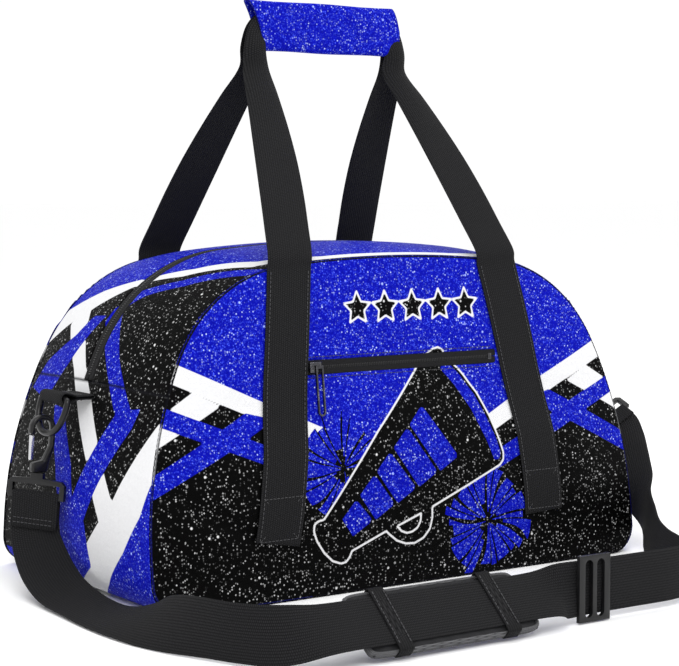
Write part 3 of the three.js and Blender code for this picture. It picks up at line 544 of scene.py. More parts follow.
def rounded(node, radius, body, material, slot_name, segments=3):
    """A moulded copy of a node: doubles merged, flat faces joined, then its edges rounded."""
    mesh = nodes[node].data.copy()
    build = bmesh.new()
    build.from_mesh(mesh)
    bmesh.ops.remove_doubles(build, verts=build.verts, dist=1e-6)
    bmesh.ops.dissolve_limit(build, angle_limit=math.radians(1), verts=build.verts, edges=build.edges)
    build.to_mesh(mesh)
    build.free()
    mesh.polygons.foreach_set("use_smooth", np.ones(len(mesh.polygons), bool))
    piece = bpy.data.objects.new(node + "_moulded", mesh)
    bpy.context.scene.collection.objects.link(piece)
    soft_edge = piece.modifiers.new("edges", "BEVEL")
    soft_edge.width = radius * MM
    soft_edge.segments = segments
    soft_edge.limit_method = "ANGLE"
    soft_edge.angle_limit = math.radians(28)
    soft_edge.harden_normals = True
    return dress(piece, material, body, slot_name, node)


for side in ("left", "right"):
    rounded(f"{side}_hook", 1.5, f"{side}_hook", acetal, "black_plastic")
    rounded(f"{side}_hook_gate", 0.9, f"{side}_gate", spring_steel, "steel")
    rounded(f"{side}_swivel_loop", 1.3, f"{side}_hanger", acetal, "black_plastic")
rounded("tri_glide", 1.0, "tri_glide", acetal, "black_plastic")
rounded("pocket_zip_slider", 0.7, "pocket_slider", gunmetal, "gunmetal")
rounded("pocket_zip_pull", 0.5, "pocket_pull", gunmetal, "gunmetal")
rounded("main_zip_slider", 0.7, "main_slider", gunmetal, "gunmetal")
rounded("main_zip_pull", 0.5, "main_pull", gunmetal, "gunmetal")
rounded("pocket_zip_stop_left", 0.4, "bag", gunmetal, "gunmetal")
rounded("pocket_zip_stop_right", 0.4, "bag", gunmetal, "gunmetal")


# D-rings: welded loops of 4.8 mm round wire. Their straight side is held in the tabs, and the
# rest hangs below it as half an ellipse with rounded corners.
RING_BAR_X, RING_BAR_Z = 237.61, 145.0
RING_WIRE_R, RING_HALF_WIDTH, RING_DROP = 2.4, 21.1, 27.0
RING_ROWS, WIRE_SIDES = 120, 16
for side, sign, drop in (("left", -1, unit([-0.3, 0, -1])), ("right", 1, unit([0.5, 0, -0.866]))):
    q = np.linspace(0, 2 * math.pi, RING_ROWS, endpoint=False)
    # straight bar at the top, then an ellipse below it, joined by rounded corners
    across = RING_HALF_WIDTH * superpower(np.cos(q), 0.82)
    down = np.where(np.sin(q) < 0, 6 - 6 * superpower(np.abs(np.sin(q)), 0.3),
                    6 + (RING_DROP - 6) * np.sin(q))
    line = (np.array([sign * RING_BAR_X, 0, RING_BAR_Z]) + across[:, None] * np.array([0, 1, 0])
            + down[:, None] * drop)
    way = unit(np.roll(line, -1, 0) - np.roll(line, 1, 0))
    flat = np.cross([0, 1, 0], drop)
    b = np.linspace(0, 2 * math.pi, WIRE_SIDES, endpoint=False)
    inward = np.cross(way, flat)
    tube = (line[:, None] + RING_WIRE_R * np.cos(b)[None, :, None] * flat
            + RING_WIRE_R * np.sin(b)[None, :, None] * inward[:, None])
    ring = new_piece(f"{side}_ring_wire", tube.reshape(-1, 3) * MM,
                     grid_faces(RING_ROWS, WIRE_SIDES, True, True))
    dress(ring, acetal, f"{side}_ring", "black_plastic", f"{side}_d_ring")

# Ring tabs: webbing folded round the ring's bar, both ends caught in the end seam, sewn close
# behind the bar.
for side, sign in (("left", -1), ("right", 1)):
    turn = np.linspace(-math.pi / 2, math.pi / 2, 11)
    tail = np.linspace(-22.5, -5.5, 6)
    layer = 1.05
    reach = np.concatenate([tail, 3.95 * np.cos(turn), tail[::-1]])
    # the two tails close up to each other behind the bar
    lift = np.interp(tail, [-22.5, -9, -5.5], [layer, layer, 2.6])
    height = np.concatenate([-lift, 3.95 * np.sin(turn), lift[::-1]])
    line = np.stack([sign * (RING_BAR_X + reach), 0 * reach, RING_BAR_Z + height], -1)
    fine = smooth(line, 3)
    tab = band(f"{side}_tab_webbing", fine * MM, np.array([0, 1.0, 0]), width=36 * MM, thick=WEB_THICK)
    dress(tab, webbing_cloth, "bag", "webbing", f"{side}_ring_tab")
    rows_of_thread = []
    for back in (-10.5, -13.5):
        for up in (-1, 1):
            ends = np.array([[sign * (RING_BAR_X + back), y, RING_BAR_Z + up * (layer + 0.95)]
                             for y in (-15.5, 15.5)])
            rows_of_thread.append((ends * MM, np.array([0, 0, up])))
    dress(stitched(f"{side}_tab_stitches", rows_of_thread), thread_material, "bag", "webbing")


# Bag body: printed polyester over thin foam. Two dome-shaped panels are sewn to one gusset that
# runs right round them; the main zip is set into its top. The three are shaped as one closed skin,
# held at the seams, zips and sewn webbing, and filled with air in a cloth simulation.
HALF_LENGTH, HALF_DEPTH, PANEL_HEIGHT, PANEL_LEAN = 225.0, 122.5, 246.0, 29.0
CORNER_R, SIDE_R, SHOULDER_R, CROWN_R = 24.0, 329.26, 116.77, 1000.0
SIDE_CENTRE = np.array([-104.26, 35.0])
SHOULDER_CENTRE = np.array([88.323, 124.805])
CROWN_ANGLE, SHOULDER_ANGLE = math.asin(0.1), math.radians(65)


def half_outline(count):
    """Points and outward directions from the middle of the floor, round the +X end, to the middle
    of the crown: a straight, a quarter circle, a straight, then three arcs of growing radius."""
    def arc(centre, radius, start, stop):
        angle = np.linspace(start, stop, count)
        way = np.stack([np.sin(angle), np.cos(angle)], -1)
        return np.asarray(centre) + radius * way, way
    parts = [
        (np.array([[0, 0], [HALF_LENGTH - CORNER_R, 0]]), np.array([[0, -1], [0, -1]])),
        arc((HALF_LENGTH - CORNER_R, CORNER_R), CORNER_R, math.pi, math.pi / 2),
        (np.array([[HALF_LENGTH, 35.0]]), np.array([[1, 0]])),
        arc(SIDE_CENTRE, SIDE_R, math.pi / 2, SHOULDER_ANGLE),
        arc(SHOULDER_CENTRE, SHOULDER_R, SHOULDER_ANGLE, CROWN_ANGLE),
        arc((0, PANEL_HEIGHT - CROWN_R), CROWN_R, CROWN_ANGLE, 0),
    ]
    return np.vstack([p for p, _ in parts]), np.vstack([w for _, w in parts])


right_half, right_ways = half_outline(60)
flip = np.array([-1, 1])
outline = np.vstack([right_half, (right_half * flip)[::-1]])
outline_ways = np.vstack([right_ways, (right_ways * flip)[::-1]])
outline_run = np.concatenate([[0], np.cumsum(np.linalg.norm(np.diff(outline, axis=0), axis=1))])
PERIMETER = outline_run[-1]


def on_outline(run):
    """Point and outward direction at a distance round the outline from the middle of the floor."""
    run = np.mod(run, PERIMETER)
    point = np.stack([np.interp(run, outline_run, outline[:, k]) for k in (0, 1)], -1)
    way = np.stack([np.interp(run, outline_run, outline_ways[:, k]) for k in (0, 1)], -1)
    return point, unit(way)


def half_depth(z):
    """The panels lean in evenly from the floor to the crown."""
    return HALF_DEPTH - PANEL_LEAN * z / PANEL_HEIGHT


def ease(x, low, high):
    """Smoothstep from low to high."""
    t = np.clip((x - low) / (high - low), 0, 1)
    return t * t * (3 - 2 * t)


def edge_distance(x, z):
    """How far inside the outline a point of a panel is, to the nearest point of the outline."""
    sample, _ = on_outline(np.linspace(0, PERIMETER, 500, endpoint=False))
    flat = np.stack([np.ravel(x), np.ravel(z)], -1)
    gap = np.concatenate([np.linalg.norm(part[:, None] - sample[None], axis=2).min(1)
                          for part in np.array_split(flat, max(1, len(flat) // 4000))])
    return gap.reshape(np.shape(x))


def front_swell(x, z):
    """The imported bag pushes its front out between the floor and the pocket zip: 7 mm times a rise
    over 70 mm from the edge, times a fall to nothing at the zip, with a fold near the lower left."""
    inside = ease(edge_distance(x, z), 0, 70)
    push = 7 * inside * (1 - ease(z, 95, 152))
    along = np.array([78.0, -35.0]) / math.hypot(78, 35)
    rel = np.stack([x + 206, z - 79], -1)
    t = np.clip(rel @ along, 0, 85)
    away = np.linalg.norm(rel - t[..., None] * along, axis=-1)
    return push - 2.4 * np.exp(-(away / 6.5) ** 2) * np.sin(math.pi * np.clip(t / 85, 0.12, 0.9))


def back_swell(x, z):
    """The back panel stands out by up to 2.5 mm."""
    return 2.5 * ease(edge_distance(x, z), 0, 60)


def end_swell(z, y):
    """The gusset bulges between its seams: 9 mm, less near the floor, nothing at the seams."""
    return 9.0 * ease(z, 0, 95) * (1 - (y / half_depth(z)) ** 2)


ACROSS, UP, DEPTH_CELLS = 100, 48, 20
LOWER_CORNER, UPPER_CORNER = 219.85, 434.2
runs_right = np.linspace(LOWER_CORNER, UPPER_CORNER, UP + 1)
runs_top = np.linspace(UPPER_CORNER, PERIMETER - UPPER_CORNER, ACROSS + 1)
runs_left = np.linspace(PERIMETER - UPPER_CORNER, PERIMETER - LOWER_CORNER, UP + 1)
runs_floor = np.linspace(PERIMETER - LOWER_CORNER, PERIMETER + LOWER_CORNER, ACROSS + 1)
# a panel is a Coons patch: its four sides blended across, less the corners blended twice
u = np.linspace(0, 1, ACROSS + 1)[None, :, None]
v = np.linspace(0, 1, UP + 1)[:, None, None]
floor_side, top_side = on_outline(runs_floor)[0][None], on_outline(runs_top[::-1])[0][None]
left_side, right_side = on_outline(runs_left[::-1])[0][:, None], on_outline(runs_right)[0][:, None]
patch = ((1 - v) * floor_side + v * top_side + (1 - u) * left_side + u * right_side
         - (1 - u) * (1 - v) * floor_side[:, :1] - u * (1 - v) * floor_side[:, -1:]
         - (1 - u) * v * top_side[:, :1] - u * v * top_side[:, -1:])
patch_x, patch_z = patch[..., 0], patch[..., 1]
patch_front = np.stack([patch_x, -half_depth(patch_z) - front_swell(patch_x, patch_z), patch_z], -1)
patch_back = np.stack([patch_x, half_depth(patch_z) + back_swell(patch_x, patch_z), patch_z], -1)
panel_count = patch_x.size
panel_index = np.arange(panel_count).reshape(UP + 1, ACROSS + 1)
rim = np.concatenate([panel_index[:, -1], panel_index[-1, -2::-1], panel_index[-2::-1, 0],
                      panel_index[0, 1:-1]])
rim_run = np.concatenate([runs_right, runs_top[1:], runs_left[1:], runs_floor[1:-1]])
rim_point, rim_way = on_outline(rim_run)

# the gusset: columns round the outline, rows from the front seam to the back seam, with rows on
# both edges of the zip's slot
ZIP_HALF = 6.0
share = np.linspace(0, 1, DEPTH_CELLS + 1)
across_rows = [(-1, k) for k in share[:-1]] + [(0, -1), (0, 0), (0, 1)] + [(1, k) for k in share[1:]]
rim_half = half_depth(rim_point[:, 1])
depth_rows = []
for side, k in across_rows:
    if side == -1:
        depth_rows.append(-(rim_half + (ZIP_HALF - rim_half) * k))
    elif side == 1:
        depth_rows.append(ZIP_HALF + (rim_half - ZIP_HALF) * k)
    else:
        depth_rows.append(np.full_like(rim_half, ZIP_HALF * k))
gusset_y = np.array(depth_rows)
swell = end_swell(rim_point[:, 1], gusset_y)
gusset = np.stack([rim_point[:, 0] + rim_way[:, 0] * swell, gusset_y,
                   rim_point[:, 1] + rim_way[:, 1] * swell], -1)
gusset[..., 2] = np.maximum(gusset[..., 2], 0)
rings = gusset.shape[0]
gusset_index = np.empty(gusset.shape[:2], int)
gusset_index[0], gusset_index[-1] = rim, panel_count + rim
gusset_index[1:-1] = 2 * panel_count + np.arange((rings - 2) * len(rim)).reshape(rings - 2, -1)
skin = np.vstack([patch_front.reshape(-1, 3), patch_back.reshape(-1, 3), gusset[1:-1].reshape(-1, 3)])
panel_faces = grid_faces(UP + 1, ACROSS + 1)
gusset_faces = gusset_index.ravel()[grid_faces(rings, len(rim), loop_cols=True)]
skin_faces = np.vstack([panel_faces, panel_faces[:, ::-1] + panel_count, gusset_faces])

# where the skin is held: seams, floor, the zips, and under the sewn webbing
WEB_FOOT_Z, WEB_LEAVE_Z, WEB_LOW_X, WEB_TOP_X = 43.0, 244.0, 124.8, 96.0


def web_x(z):
    """Middle line of the sewn webbing: it leans in from its foot to the panel's top edge."""
    return WEB_LOW_X + (WEB_TOP_X - WEB_LOW_X) * (z - WEB_FOOT_Z) / (WEB_LEAVE_Z - WEB_FOOT_Z)


POCKET_ZIP_Z, POCKET_HALF = 166.0, 88.2
held = np.zeros(len(skin))
under_web = (np.abs(np.abs(patch_x) - web_x(patch_z)) < 19) & (patch_z > WEB_FOOT_Z - 3)
near_zip = (np.abs(patch_z - POCKET_ZIP_Z) < 9) & (np.abs(patch_x) < POCKET_HALF + 4)
held[:panel_count] = np.where(under_web | near_zip, 1, 0).ravel()
held[panel_count:2 * panel_count] = np.where(under_web, 1, 0).ravel()
run_from_crown = np.abs(PERIMETER / 2 - rim_run)
ZIP_RUN = 245.0
zip_rows = (np.abs(gusset_y) <= ZIP_HALF + 0.1) & (run_from_crown < ZIP_RUN + 6)[None, :]
tab_rows = (np.abs(gusset_y) < 20) & (np.abs(run_from_crown - 260) < 9)[None, :]
held_gusset = np.where(zip_rows | tab_rows | (gusset[..., 2] < 0.5), 1, 0)
held[2 * panel_count:] = held_gusset[1:-1].ravel()
held[rim] = held[panel_count + rim] = 1

body_skin = new_piece("body_skin", skin * MM, skin_faces)
pins = body_skin.vertex_groups.new(name="held")
for weight in (0.0, 1.0):
    pins.add(np.flatnonzero(held == weight).tolist(), weight, "REPLACE")
cloth = body_skin.modifiers.new("cloth", "CLOTH")
cloth.settings.quality = 6
cloth.settings.mass = 0.4
cloth.settings.tension_stiffness = cloth.settings.compression_stiffness = 30
cloth.settings.shear_stiffness = 12
cloth.settings.bending_stiffness = 2.5
cloth.settings.use_pressure = True
cloth.settings.uniform_pressure_force = 4
cloth.settings.vertex_group_mass = "held"
cloth.settings.effector_weights.gravity = 0
cloth.collision_settings.use_collision = False
cloth.point_cache.frame_start, cloth.point_cache.frame_end = 1, 20
for step in range(1, 21):
    bpy.context.scene.frame_set(step)
settled = body_skin.evaluated_get(bpy.context.evaluated_depsgraph_get())
filled = np.empty(len(skin) * 3)
settled.to_mesh().vertices.foreach_get("co", filled)
settled.to_mesh_clear()
body_skin.modifiers.clear()
bpy.context.scene.frame_set(1)
moved = filled.reshape(-1, 3) / MM - skin
# no point of the cloth moves further than this
CAP = 6.5
far = np.linalg.norm(moved, axis=1, keepdims=True)
skin = skin + moved * np.minimum(1, CAP / np.maximum(far, 1e-9)) * (1 - held)[:, None]
skin[:, 2] = np.maximum(skin[:, 2], 0.25)
bpy.data.objects.remove(body_skin)


# Printed cloth: glitter is a printed pattern of bright and dull flakes on blue or black, with
# plain white stripes between. Where each colour lies is a signed distance in millimetres, stored
# on the cloth, so the edges stay sharp.
def glitter_group():
    """Flakes are Voronoi cells: a cell is a flake where its random value is high and the point is
    near its middle. Small flakes are 1 mm apart, large ones 4 mm. Blue and White choose the ink."""
    group = bpy.data.node_groups.new("glitter print", "ShaderNodeTree")
    face = group.interface
    for label, kind, way in (("Vector", "Vector", "INPUT"), ("Blue", "Float", "INPUT"),
                             ("White", "Float", "INPUT"), ("Color", "Color", "OUTPUT"),
                             ("Roughness", "Float", "OUTPUT"), ("Height", "Float", "OUTPUT")):
        face.new_socket(label, in_out=way, socket_type="NodeSocket" + kind)
    new = group.nodes.new
    inside, outside = new("NodeGroupInput"), new("NodeGroupOutput")

    def flakes(scale, share, reach):
        cells, split = new("ShaderNodeTexVoronoi"), new("ShaderNodeSeparateColor")
        cells.inputs["Scale"].default_value = scale
        wire(group, (inside.outputs["Vector"], cells.inputs["Vector"]),
             (cells.outputs["Color"], split.inputs[0]))
        chosen = fading(group, 1 - share, 1 - 0.4 * share)
        near = fading(group, reach, 0.3 * reach)
        both, bright = new("ShaderNodeMath"), new("ShaderNodeMath")
        both.operation = bright.operation = "MULTIPLY"
        wire(group, (split.outputs[0], chosen.inputs["Value"]),
             (cells.outputs["Distance"], near.inputs["Value"]),
             (chosen.outputs[0], both.inputs[0]), (near.outputs[0], both.inputs[1]),
             (both.outputs[0], bright.inputs[0]), (split.outputs[1], bright.inputs[1]))
        return both.outputs[0], bright.outputs[0]

    def mixed(factor, first, second):
        node = new("ShaderNodeMix")
        node.data_type = "RGBA"
        for label, value in (("A", first), ("B", second)):
            if isinstance(value, tuple):
                tint(node, label, value)
            else:
                group.links.new(value, node.inputs[label])
        group.links.new(factor, node.inputs["Factor"])
        return node.outputs["Result"]

    dense, dense_bright = flakes(780, 0.75, 0.62)
    _, sparse_bright = flakes(620, 0.34, 0.50)
    large, _ = flakes(150, 0.24, 0.19)
    cloudy = new("ShaderNodeTexNoise")
    cloudy.inputs["Scale"].default_value = 420
    cloudy.inputs["Detail"].default_value = 3
    wire(group, (inside.outputs["Vector"], cloudy.inputs["Vector"]))
    blue = mixed(cloudy.outputs[0], (0.0004, 0.0008, 0.17), (0.002, 0.005, 0.46))
    blue = mixed(dense_bright, blue, (0.055, 0.10, 0.86))
    blue = mixed(sparse_bright, blue, (0.55, 0.66, 1.0))
    blue = mixed(large, blue, (0.36, 0.46, 1.0))
    black = mixed(cloudy.outputs[0], (0.0001, 0.0001, 0.0001), (0.0016, 0.0016, 0.0016))
    black = mixed(sparse_bright, black, (0.60, 0.60, 0.60))
    black = mixed(large, black, (0.78, 0.78, 0.78))
    white = mixed(cloudy.outputs[0], (0.63, 0.63, 0.64), (0.70, 0.70, 0.71))
    colour = mixed(inside.outputs["White"], mixed(inside.outputs["Blue"], black, blue), white)
    gloss, relief = new("ShaderNodeMapRange"), new("ShaderNodeMath")
    gloss.inputs["To Min"].default_value, gloss.inputs["To Max"].default_value = 0.62, 0.34
    relief.operation = "ADD"
    wire(group, (dense, gloss.inputs["Value"]), (dense, relief.inputs[0]),
         (cloudy.outputs[0], relief.inputs[1]),
         (colour, outside.inputs["Color"]), (gloss.outputs[0], outside.inputs["Roughness"]),
         (relief.outputs[0], outside.inputs["Height"]))
    return group


def pompom_group():
    """A pompom seen from the front: streamers fan from its middle. With r (a share of the radius)
    and a the polar place, streamer number = count (a / 2 pi + 0.012 sin 9a + 0.02 r^2 + 2), and a
    gap shows where its fraction nears 0 or 1. Each streamer ends at its own random share of the
    radius."""
    group = bpy.data.node_groups.new("pompom print", "ShaderNodeTree")
    face = group.interface
    face.new_socket("Vector", in_out="INPUT", socket_type="NodeSocketVector")
    for label in ("Middle X", "Middle Z", "Radius", "Count"):
        face.new_socket(label, in_out="INPUT", socket_type="NodeSocketFloat")
    for label in ("Inside", "Streamer"):
        face.new_socket(label, in_out="OUTPUT", socket_type="NodeSocketFloat")
    new = group.nodes.new
    inside, outside = new("NodeGroupInput"), new("NodeGroupOutput")
    split = new("ShaderNodeSeparateXYZ")
    wire(group, (inside.outputs["Vector"], split.inputs[0]))

    maths = calculator(group)
    x = maths("SUBTRACT", split.outputs[0], inside.outputs["Middle X"])
    z = maths("SUBTRACT", split.outputs[2], inside.outputs["Middle Z"])
    angle = maths("ARCTAN2", z, x)
    radius = maths("POWER", maths("ADD", maths("MULTIPLY", x, x), maths("MULTIPLY", z, z)), 0.5)
    part = maths("DIVIDE", radius, inside.outputs["Radius"])
    wobble = maths("MULTIPLY", maths("SINE", maths("MULTIPLY", angle, 9.0)), 0.012)
    turn = maths("ADD", maths("DIVIDE", angle, 2 * math.pi), wobble)
    turn = maths("ADD", turn, maths("MULTIPLY", maths("MULTIPLY", part, part), 0.02))
    number = maths("MULTIPLY", maths("ADD", turn, 2.0), inside.outputs["Count"])
    fraction = maths("FRACT", number)
    lot = new("ShaderNodeTexWhiteNoise")
    lot.noise_dimensions = "1D"
    wire(group, (maths("FLOOR", number), lot.inputs["W"]))
    reach = maths("ADD", maths("MULTIPLY", lot.outputs["Value"], 0.3), 0.72)
    within = maths("LESS_THAN", part, reach)
    gap = maths("ABSOLUTE", maths("SUBTRACT", fraction, 0.5))
    clear = maths("LESS_THAN", gap, maths("ADD", maths("MULTIPLY", part, 0.08), 0.33))
    # each streamer begins at its own random distance from the middle
    middle = maths("GREATER_THAN", part, maths("MULTIPLY", lot.outputs["Value"], 0.38))
    wire(group, (within, outside.inputs["Inside"]),
         (maths("MULTIPLY", clear, middle), outside.inputs["Streamer"]))
    return group


glitter, pompom = glitter_group(), pompom_group()


def printed(name, badges=()):
    """Glitter cloth whose inks follow the stored distances. badges are pompoms (x, z, radius,
    count) in metres, printed under the outlined shapes."""
    material, tree, shader = plain_material(name)
    new = tree.nodes.new
    place, flakes, relief = new("ShaderNodeTexCoord"), new("ShaderNodeGroup"), new("ShaderNodeBump")
    flakes.node_tree = glitter

    maths = calculator(tree)

    def stored(label):
        node = new("ShaderNodeAttribute")
        node.attribute_name = label
        return node.outputs["Fac"]

    def below(value, limit=0.0, soft=0.25):
        node = fading(tree, limit + soft, limit - soft)
        tree.links.new(value, node.inputs["Value"])
        return node.outputs[0]

    def choose(mask, if_not, if_so):
        """if_not + mask (if_so - if_not)"""
        return maths("ADD", if_not, maths("MULTIPLY", mask, maths("SUBTRACT", if_so, if_not)))

    blue, white = below(stored("print_blue")), below(stored("print_white"))
    for badge in badges:
        fan = new("ShaderNodeGroup")
        fan.node_tree = pompom
        for label, value in zip(("Middle X", "Middle Z", "Radius", "Count"), badge):
            fan.inputs[label].default_value = value
        wire(tree, (place.outputs["Object"], fan.inputs["Vector"]))
        blue = choose(fan.outputs["Inside"], blue, fan.outputs["Streamer"])
        white = choose(fan.outputs["Inside"], white, 0.0)
    if badges:
        shape = stored("badge")
        body_ink = below(shape)
        blue = choose(body_ink, blue, below(stored("badge_blue")))
        outline_ink = below(maths("ABSOLUTE", shape), 0.75)
        white = choose(body_ink, white, 0.0)
        white = maths("MAXIMUM", white, outline_ink)
    wire(tree, (place.outputs["Object"], flakes.inputs["Vector"]), (blue, flakes.inputs["Blue"]),
         (white, flakes.inputs["White"]))
    seam_dark, seam_mix = fading(tree, 0.2, 1.9), new("ShaderNodeMix")
    seam_dark.inputs["To Min"].default_value = 0.85
    seam_dark.inputs["To Max"].default_value = 0.0
    seam_mix.data_type = "RGBA"
    tint(seam_mix, "B", (0.004, 0.004, 0.006))
    folds, folds_place = new("ShaderNodeTexNoise"), new("ShaderNodeMapping")
    folds_place.inputs["Scale"].default_value = (1, 1, 2.2)
    folds.inputs["Scale"].default_value = 22
    folds.inputs["Detail"].default_value = 3
    fold_relief = new("ShaderNodeBump")
    fold_relief.inputs["Strength"].default_value = 0.30
    fold_relief.inputs["Distance"].default_value = 0.004
    relief.inputs["Strength"].default_value = 0.25
    relief.inputs["Distance"].default_value = 0.0003
    wire(tree, (stored("seam"), seam_dark.inputs["Value"]),
         (seam_dark.outputs[0], seam_mix.inputs["Factor"]), (flakes.outputs["Color"], seam_mix.inputs["A"]),
         (seam_mix.outputs["Result"], shader.inputs["Base Color"]),
         (flakes.outputs["Roughness"], shader.inputs["Roughness"]),
         (place.outputs["Object"], folds_place.inputs["Vector"]),
         (folds_place.outputs[0], folds.inputs["Vector"]), (folds.outputs[0], fold_relief.inputs["Height"]),
         (fold_relief.outputs[0], relief.inputs["Normal"]),
         (flakes.outputs["Height"], relief.inputs["Height"]), (relief.outputs[0], shader.inputs["Normal"]))
    shader.inputs["Specular IOR Level"].default_value = 0.035
    return material


def polygon(x, z, corners):
    """Signed distance to a polygon: the least distance to its sides, negative inside."""
    corners = np.asarray(corners, float)
    least = np.full(np.shape(x), 1e9)
    inside = np.zeros(np.shape(x), bool)
    for (ax, az), (bx, bz) in zip(corners, np.roll(corners, -1, 0)):
        px, pz, ex, ez = x - ax, z - az, bx - ax, bz - az
        t = np.clip((px * ex + pz * ez) / (ex * ex + ez * ez), 0, 1)
        least = np.minimum(least, np.hypot(px - ex * t, pz - ez * t))
        crossing = (az > z) != (bz > z)
        with np.errstate(divide="ignore", invalid="ignore"):
            inside ^= crossing & (x < ax + (z - az) * ex / (ez if ez else 1e-9))
    return np.where(inside, -least, least)


def united(*distances):
    """Union of shapes: the least of their distances."""
    return np.minimum.reduce(distances)


def stripes_print(x, z):
    """The chevrons of both panels, the same on both halves: blue above a white stripe, a blue band
    and a white branch below it, and a second blue band that crosses the first."""
    side = np.abs(x)
    stripe = polygon(side, z, [(240, 194), (240, 178), (0, 75), (0, 88)])
    field = polygon(side, z, [(240, 192), (0, 86), (0, 300), (240, 300)])
    branch = polygon(side, z, [(184, 154), (162, 143), (240, 104), (240, 122)])
    band_down = polygon(side, z, [(240, 158), (240, 143), (60, 72), (60, 86)])
    band_up = polygon(side, z, [(240, 88), (240, 73), (118, 131), (142, 137)])
    blue = united(field, band_down, band_up)
    white = np.maximum(united(stripe, branch), -united(band_down, band_up))
    return blue, white


def finer(grid, steps, looped=False):
    """A grid of values sampled steps times finer both ways with Catmull-Rom splines."""
    grid = np.asarray(grid, float)
    if looped:
        grid = np.concatenate([grid[:, -3:], grid, grid[:, :3]], 1)
    rows = smooth(grid.reshape(len(grid), -1), steps).reshape(-1, *grid.shape[1:])
    turned = rows.swapaxes(0, 1)
    cols = smooth(turned.reshape(len(turned), -1), steps).reshape(-1, *turned.shape[1:]).swapaxes(0, 1)
    return cols[:, 3 * steps:-2 * steps - 1] if looped else cols


def cloth_piece(name, grid, facts, thick=1.3, tube=False):
    """A sheet or a tube of cloth from a grid of points, with the values that its print follows
    stored on it, thickened inwards."""
    piece = new_piece(name, grid.reshape(-1, 3) * MM, grid_faces(*grid.shape[:2], loop_cols=tube))
    for label, values in facts.items():
        layer = piece.data.attributes.new(label, "FLOAT", "POINT")
        layer.data.foreach_set("value", np.asarray(values, np.float32).ravel())
    wall = piece.modifiers.new("thickness", "SOLIDIFY")
    wall.thickness = thick * MM
    wall.offset = -1
    return piece


# Front and back panels: the print on the front adds a megaphone, two pompoms and a row of stars,
# with a slot for the pocket's zip cut between the two bands of webbing.
front_grid = finer(skin[:panel_count].reshape(UP + 1, ACROSS + 1, 3), 3)
back_grid = finer(skin[panel_count:2 * panel_count].reshape(UP + 1, ACROSS + 1, 3), 2)[:, ::-1]
ROLL = 1.6


def rolled(grid, way):
    """The panel's edge turns in at the seam: y moves 1.5 exp(-(d/1.6)^2) towards the inside."""
    rim_gap = edge_distance(grid[..., 0], grid[..., 2])
    grid = grid.copy()
    grid[..., 1] += way * 1.5 * np.exp(-(rim_gap / ROLL) ** 2)
    return grid, rim_gap


front_grid, front_gap = rolled(front_grid, 1)
back_grid, back_gap = rolled(back_grid, -1)
x, z = front_grid[..., 0].copy(), front_grid[..., 2].copy()
slot_depth = (ease(5.9 - np.abs(z - POCKET_ZIP_Z), 0, 1.2)
              * ease(POCKET_HALF + 0.6 - np.abs(x - 2.5), 0, 1.5))
front_grid[..., 1] += 1.9 * slot_depth
MEGAPHONE = [(-84, 56), (-30, 116), (14, 160), (25, 170), (30, 173.5), (35, 174.5), (39, 172.5), (42, 168),
             (54, 156), (67, 139), (77, 120), (83, 103), (86, 92), (85.5, 87), (82, 83.5), (50, 71), (13, 57),
             (-31, 43), (-61, 32), (-63, 27.5), (-66, 24.5), (-70, 24), (-77, 26.5), (-84, 33), (-90, 42),
             (-92.5, 49), (-92, 53.5), (-88.5, 55.5)]
HANDLE_LOOP = [(14, 62), (13.5, 49), (11, 41), (5, 35), (-3, 32), (-11, 32.5), (-19, 35.5), (-26, 41),
               (-31, 46)]
HANDLE_EYE = [(4, 53), (3, 47), (0, 42.5), (-5, 40), (-10, 39.5), (-15, 41.5), (-19, 45.5)]
BELL_RIM = [(42, 166), (53, 154), (65, 138), (75, 119), (81.5, 102), (84, 92), (82.5, 87.5), (77.5, 87),
            (71, 104), (60, 127), (47, 146), (36, 159)]
axis = np.array([118.0, 82.0]) / math.hypot(118, 82)
normal = np.array([-axis[1], axis[0]])
blocks = []
for number in range(5):
    # five plain slanted blocks that widen with the horn
    start, stop = 10 + 23 * number, 29.4 + 23 * number
    low, high = 6.5 + 0.155 * start, 6.5 + 0.155 * stop
    base = np.array([-72.0, 43.0])
    tilt = 0.6 if number % 2 else -0.6
    corners = [(start, -low), (stop - 1, 1 - high), (stop + 1, 3 - high), (stop + tilt, high - 2),
               (stop + tilt - 2, high), (start, low)]
    blocks.append(polygon(x, z, [base + axis * along + normal * off for along, off in corners]))
star_turn = np.linspace(0, 2 * math.pi, 11)[:-1]
star_reach = np.where(np.arange(10) % 2, 0.48, 1.0)[:, None]
star_shape = np.stack([np.sin(star_turn), np.cos(star_turn)], -1) * star_reach
STAR_R, STAR_STEP, STAR_Z = 12.8, 25.5, 207.5
stars = [polygon(x, z, star_shape * STAR_R + np.array([-38 + STAR_STEP * k, STAR_Z])) for k in range(5)]
eye = polygon(x, z, HANDLE_EYE)
horn = united(polygon(x, z, MEGAPHONE), polygon(x, z, HANDLE_LOOP))
badge = united(np.maximum(horn - 0.8, -eye), *stars)
blue, white = stripes_print(x, z)
front_facts = {"print_blue": blue, "print_white": white, "badge": badge,
               "badge_blue": united(polygon(x, z, BELL_RIM), *blocks), "seam": front_gap}
# middle, radius and number of streamers
POMPOMS = [(0.068, 0.041, 0.045, 22), (-0.064, 0.092, 0.042, 19)]
front_cloth = printed("front print", badges=POMPOMS)
front_panel = cloth_piece("front_panel_cloth", front_grid, front_facts)
dress(front_panel, front_cloth, "bag", "blue_glitter", "front_panel")
blue, white = stripes_print(back_grid[..., 0], back_grid[..., 2])
plain_cloth = printed("body print")
back_facts = {"print_blue": blue, "print_white": white, "seam": back_gap}
back_panel = cloth_piece("back_panel_cloth", back_grid, back_facts)
dress(back_panel, plain_cloth, "bag", "blue_glitter", "back_panel")


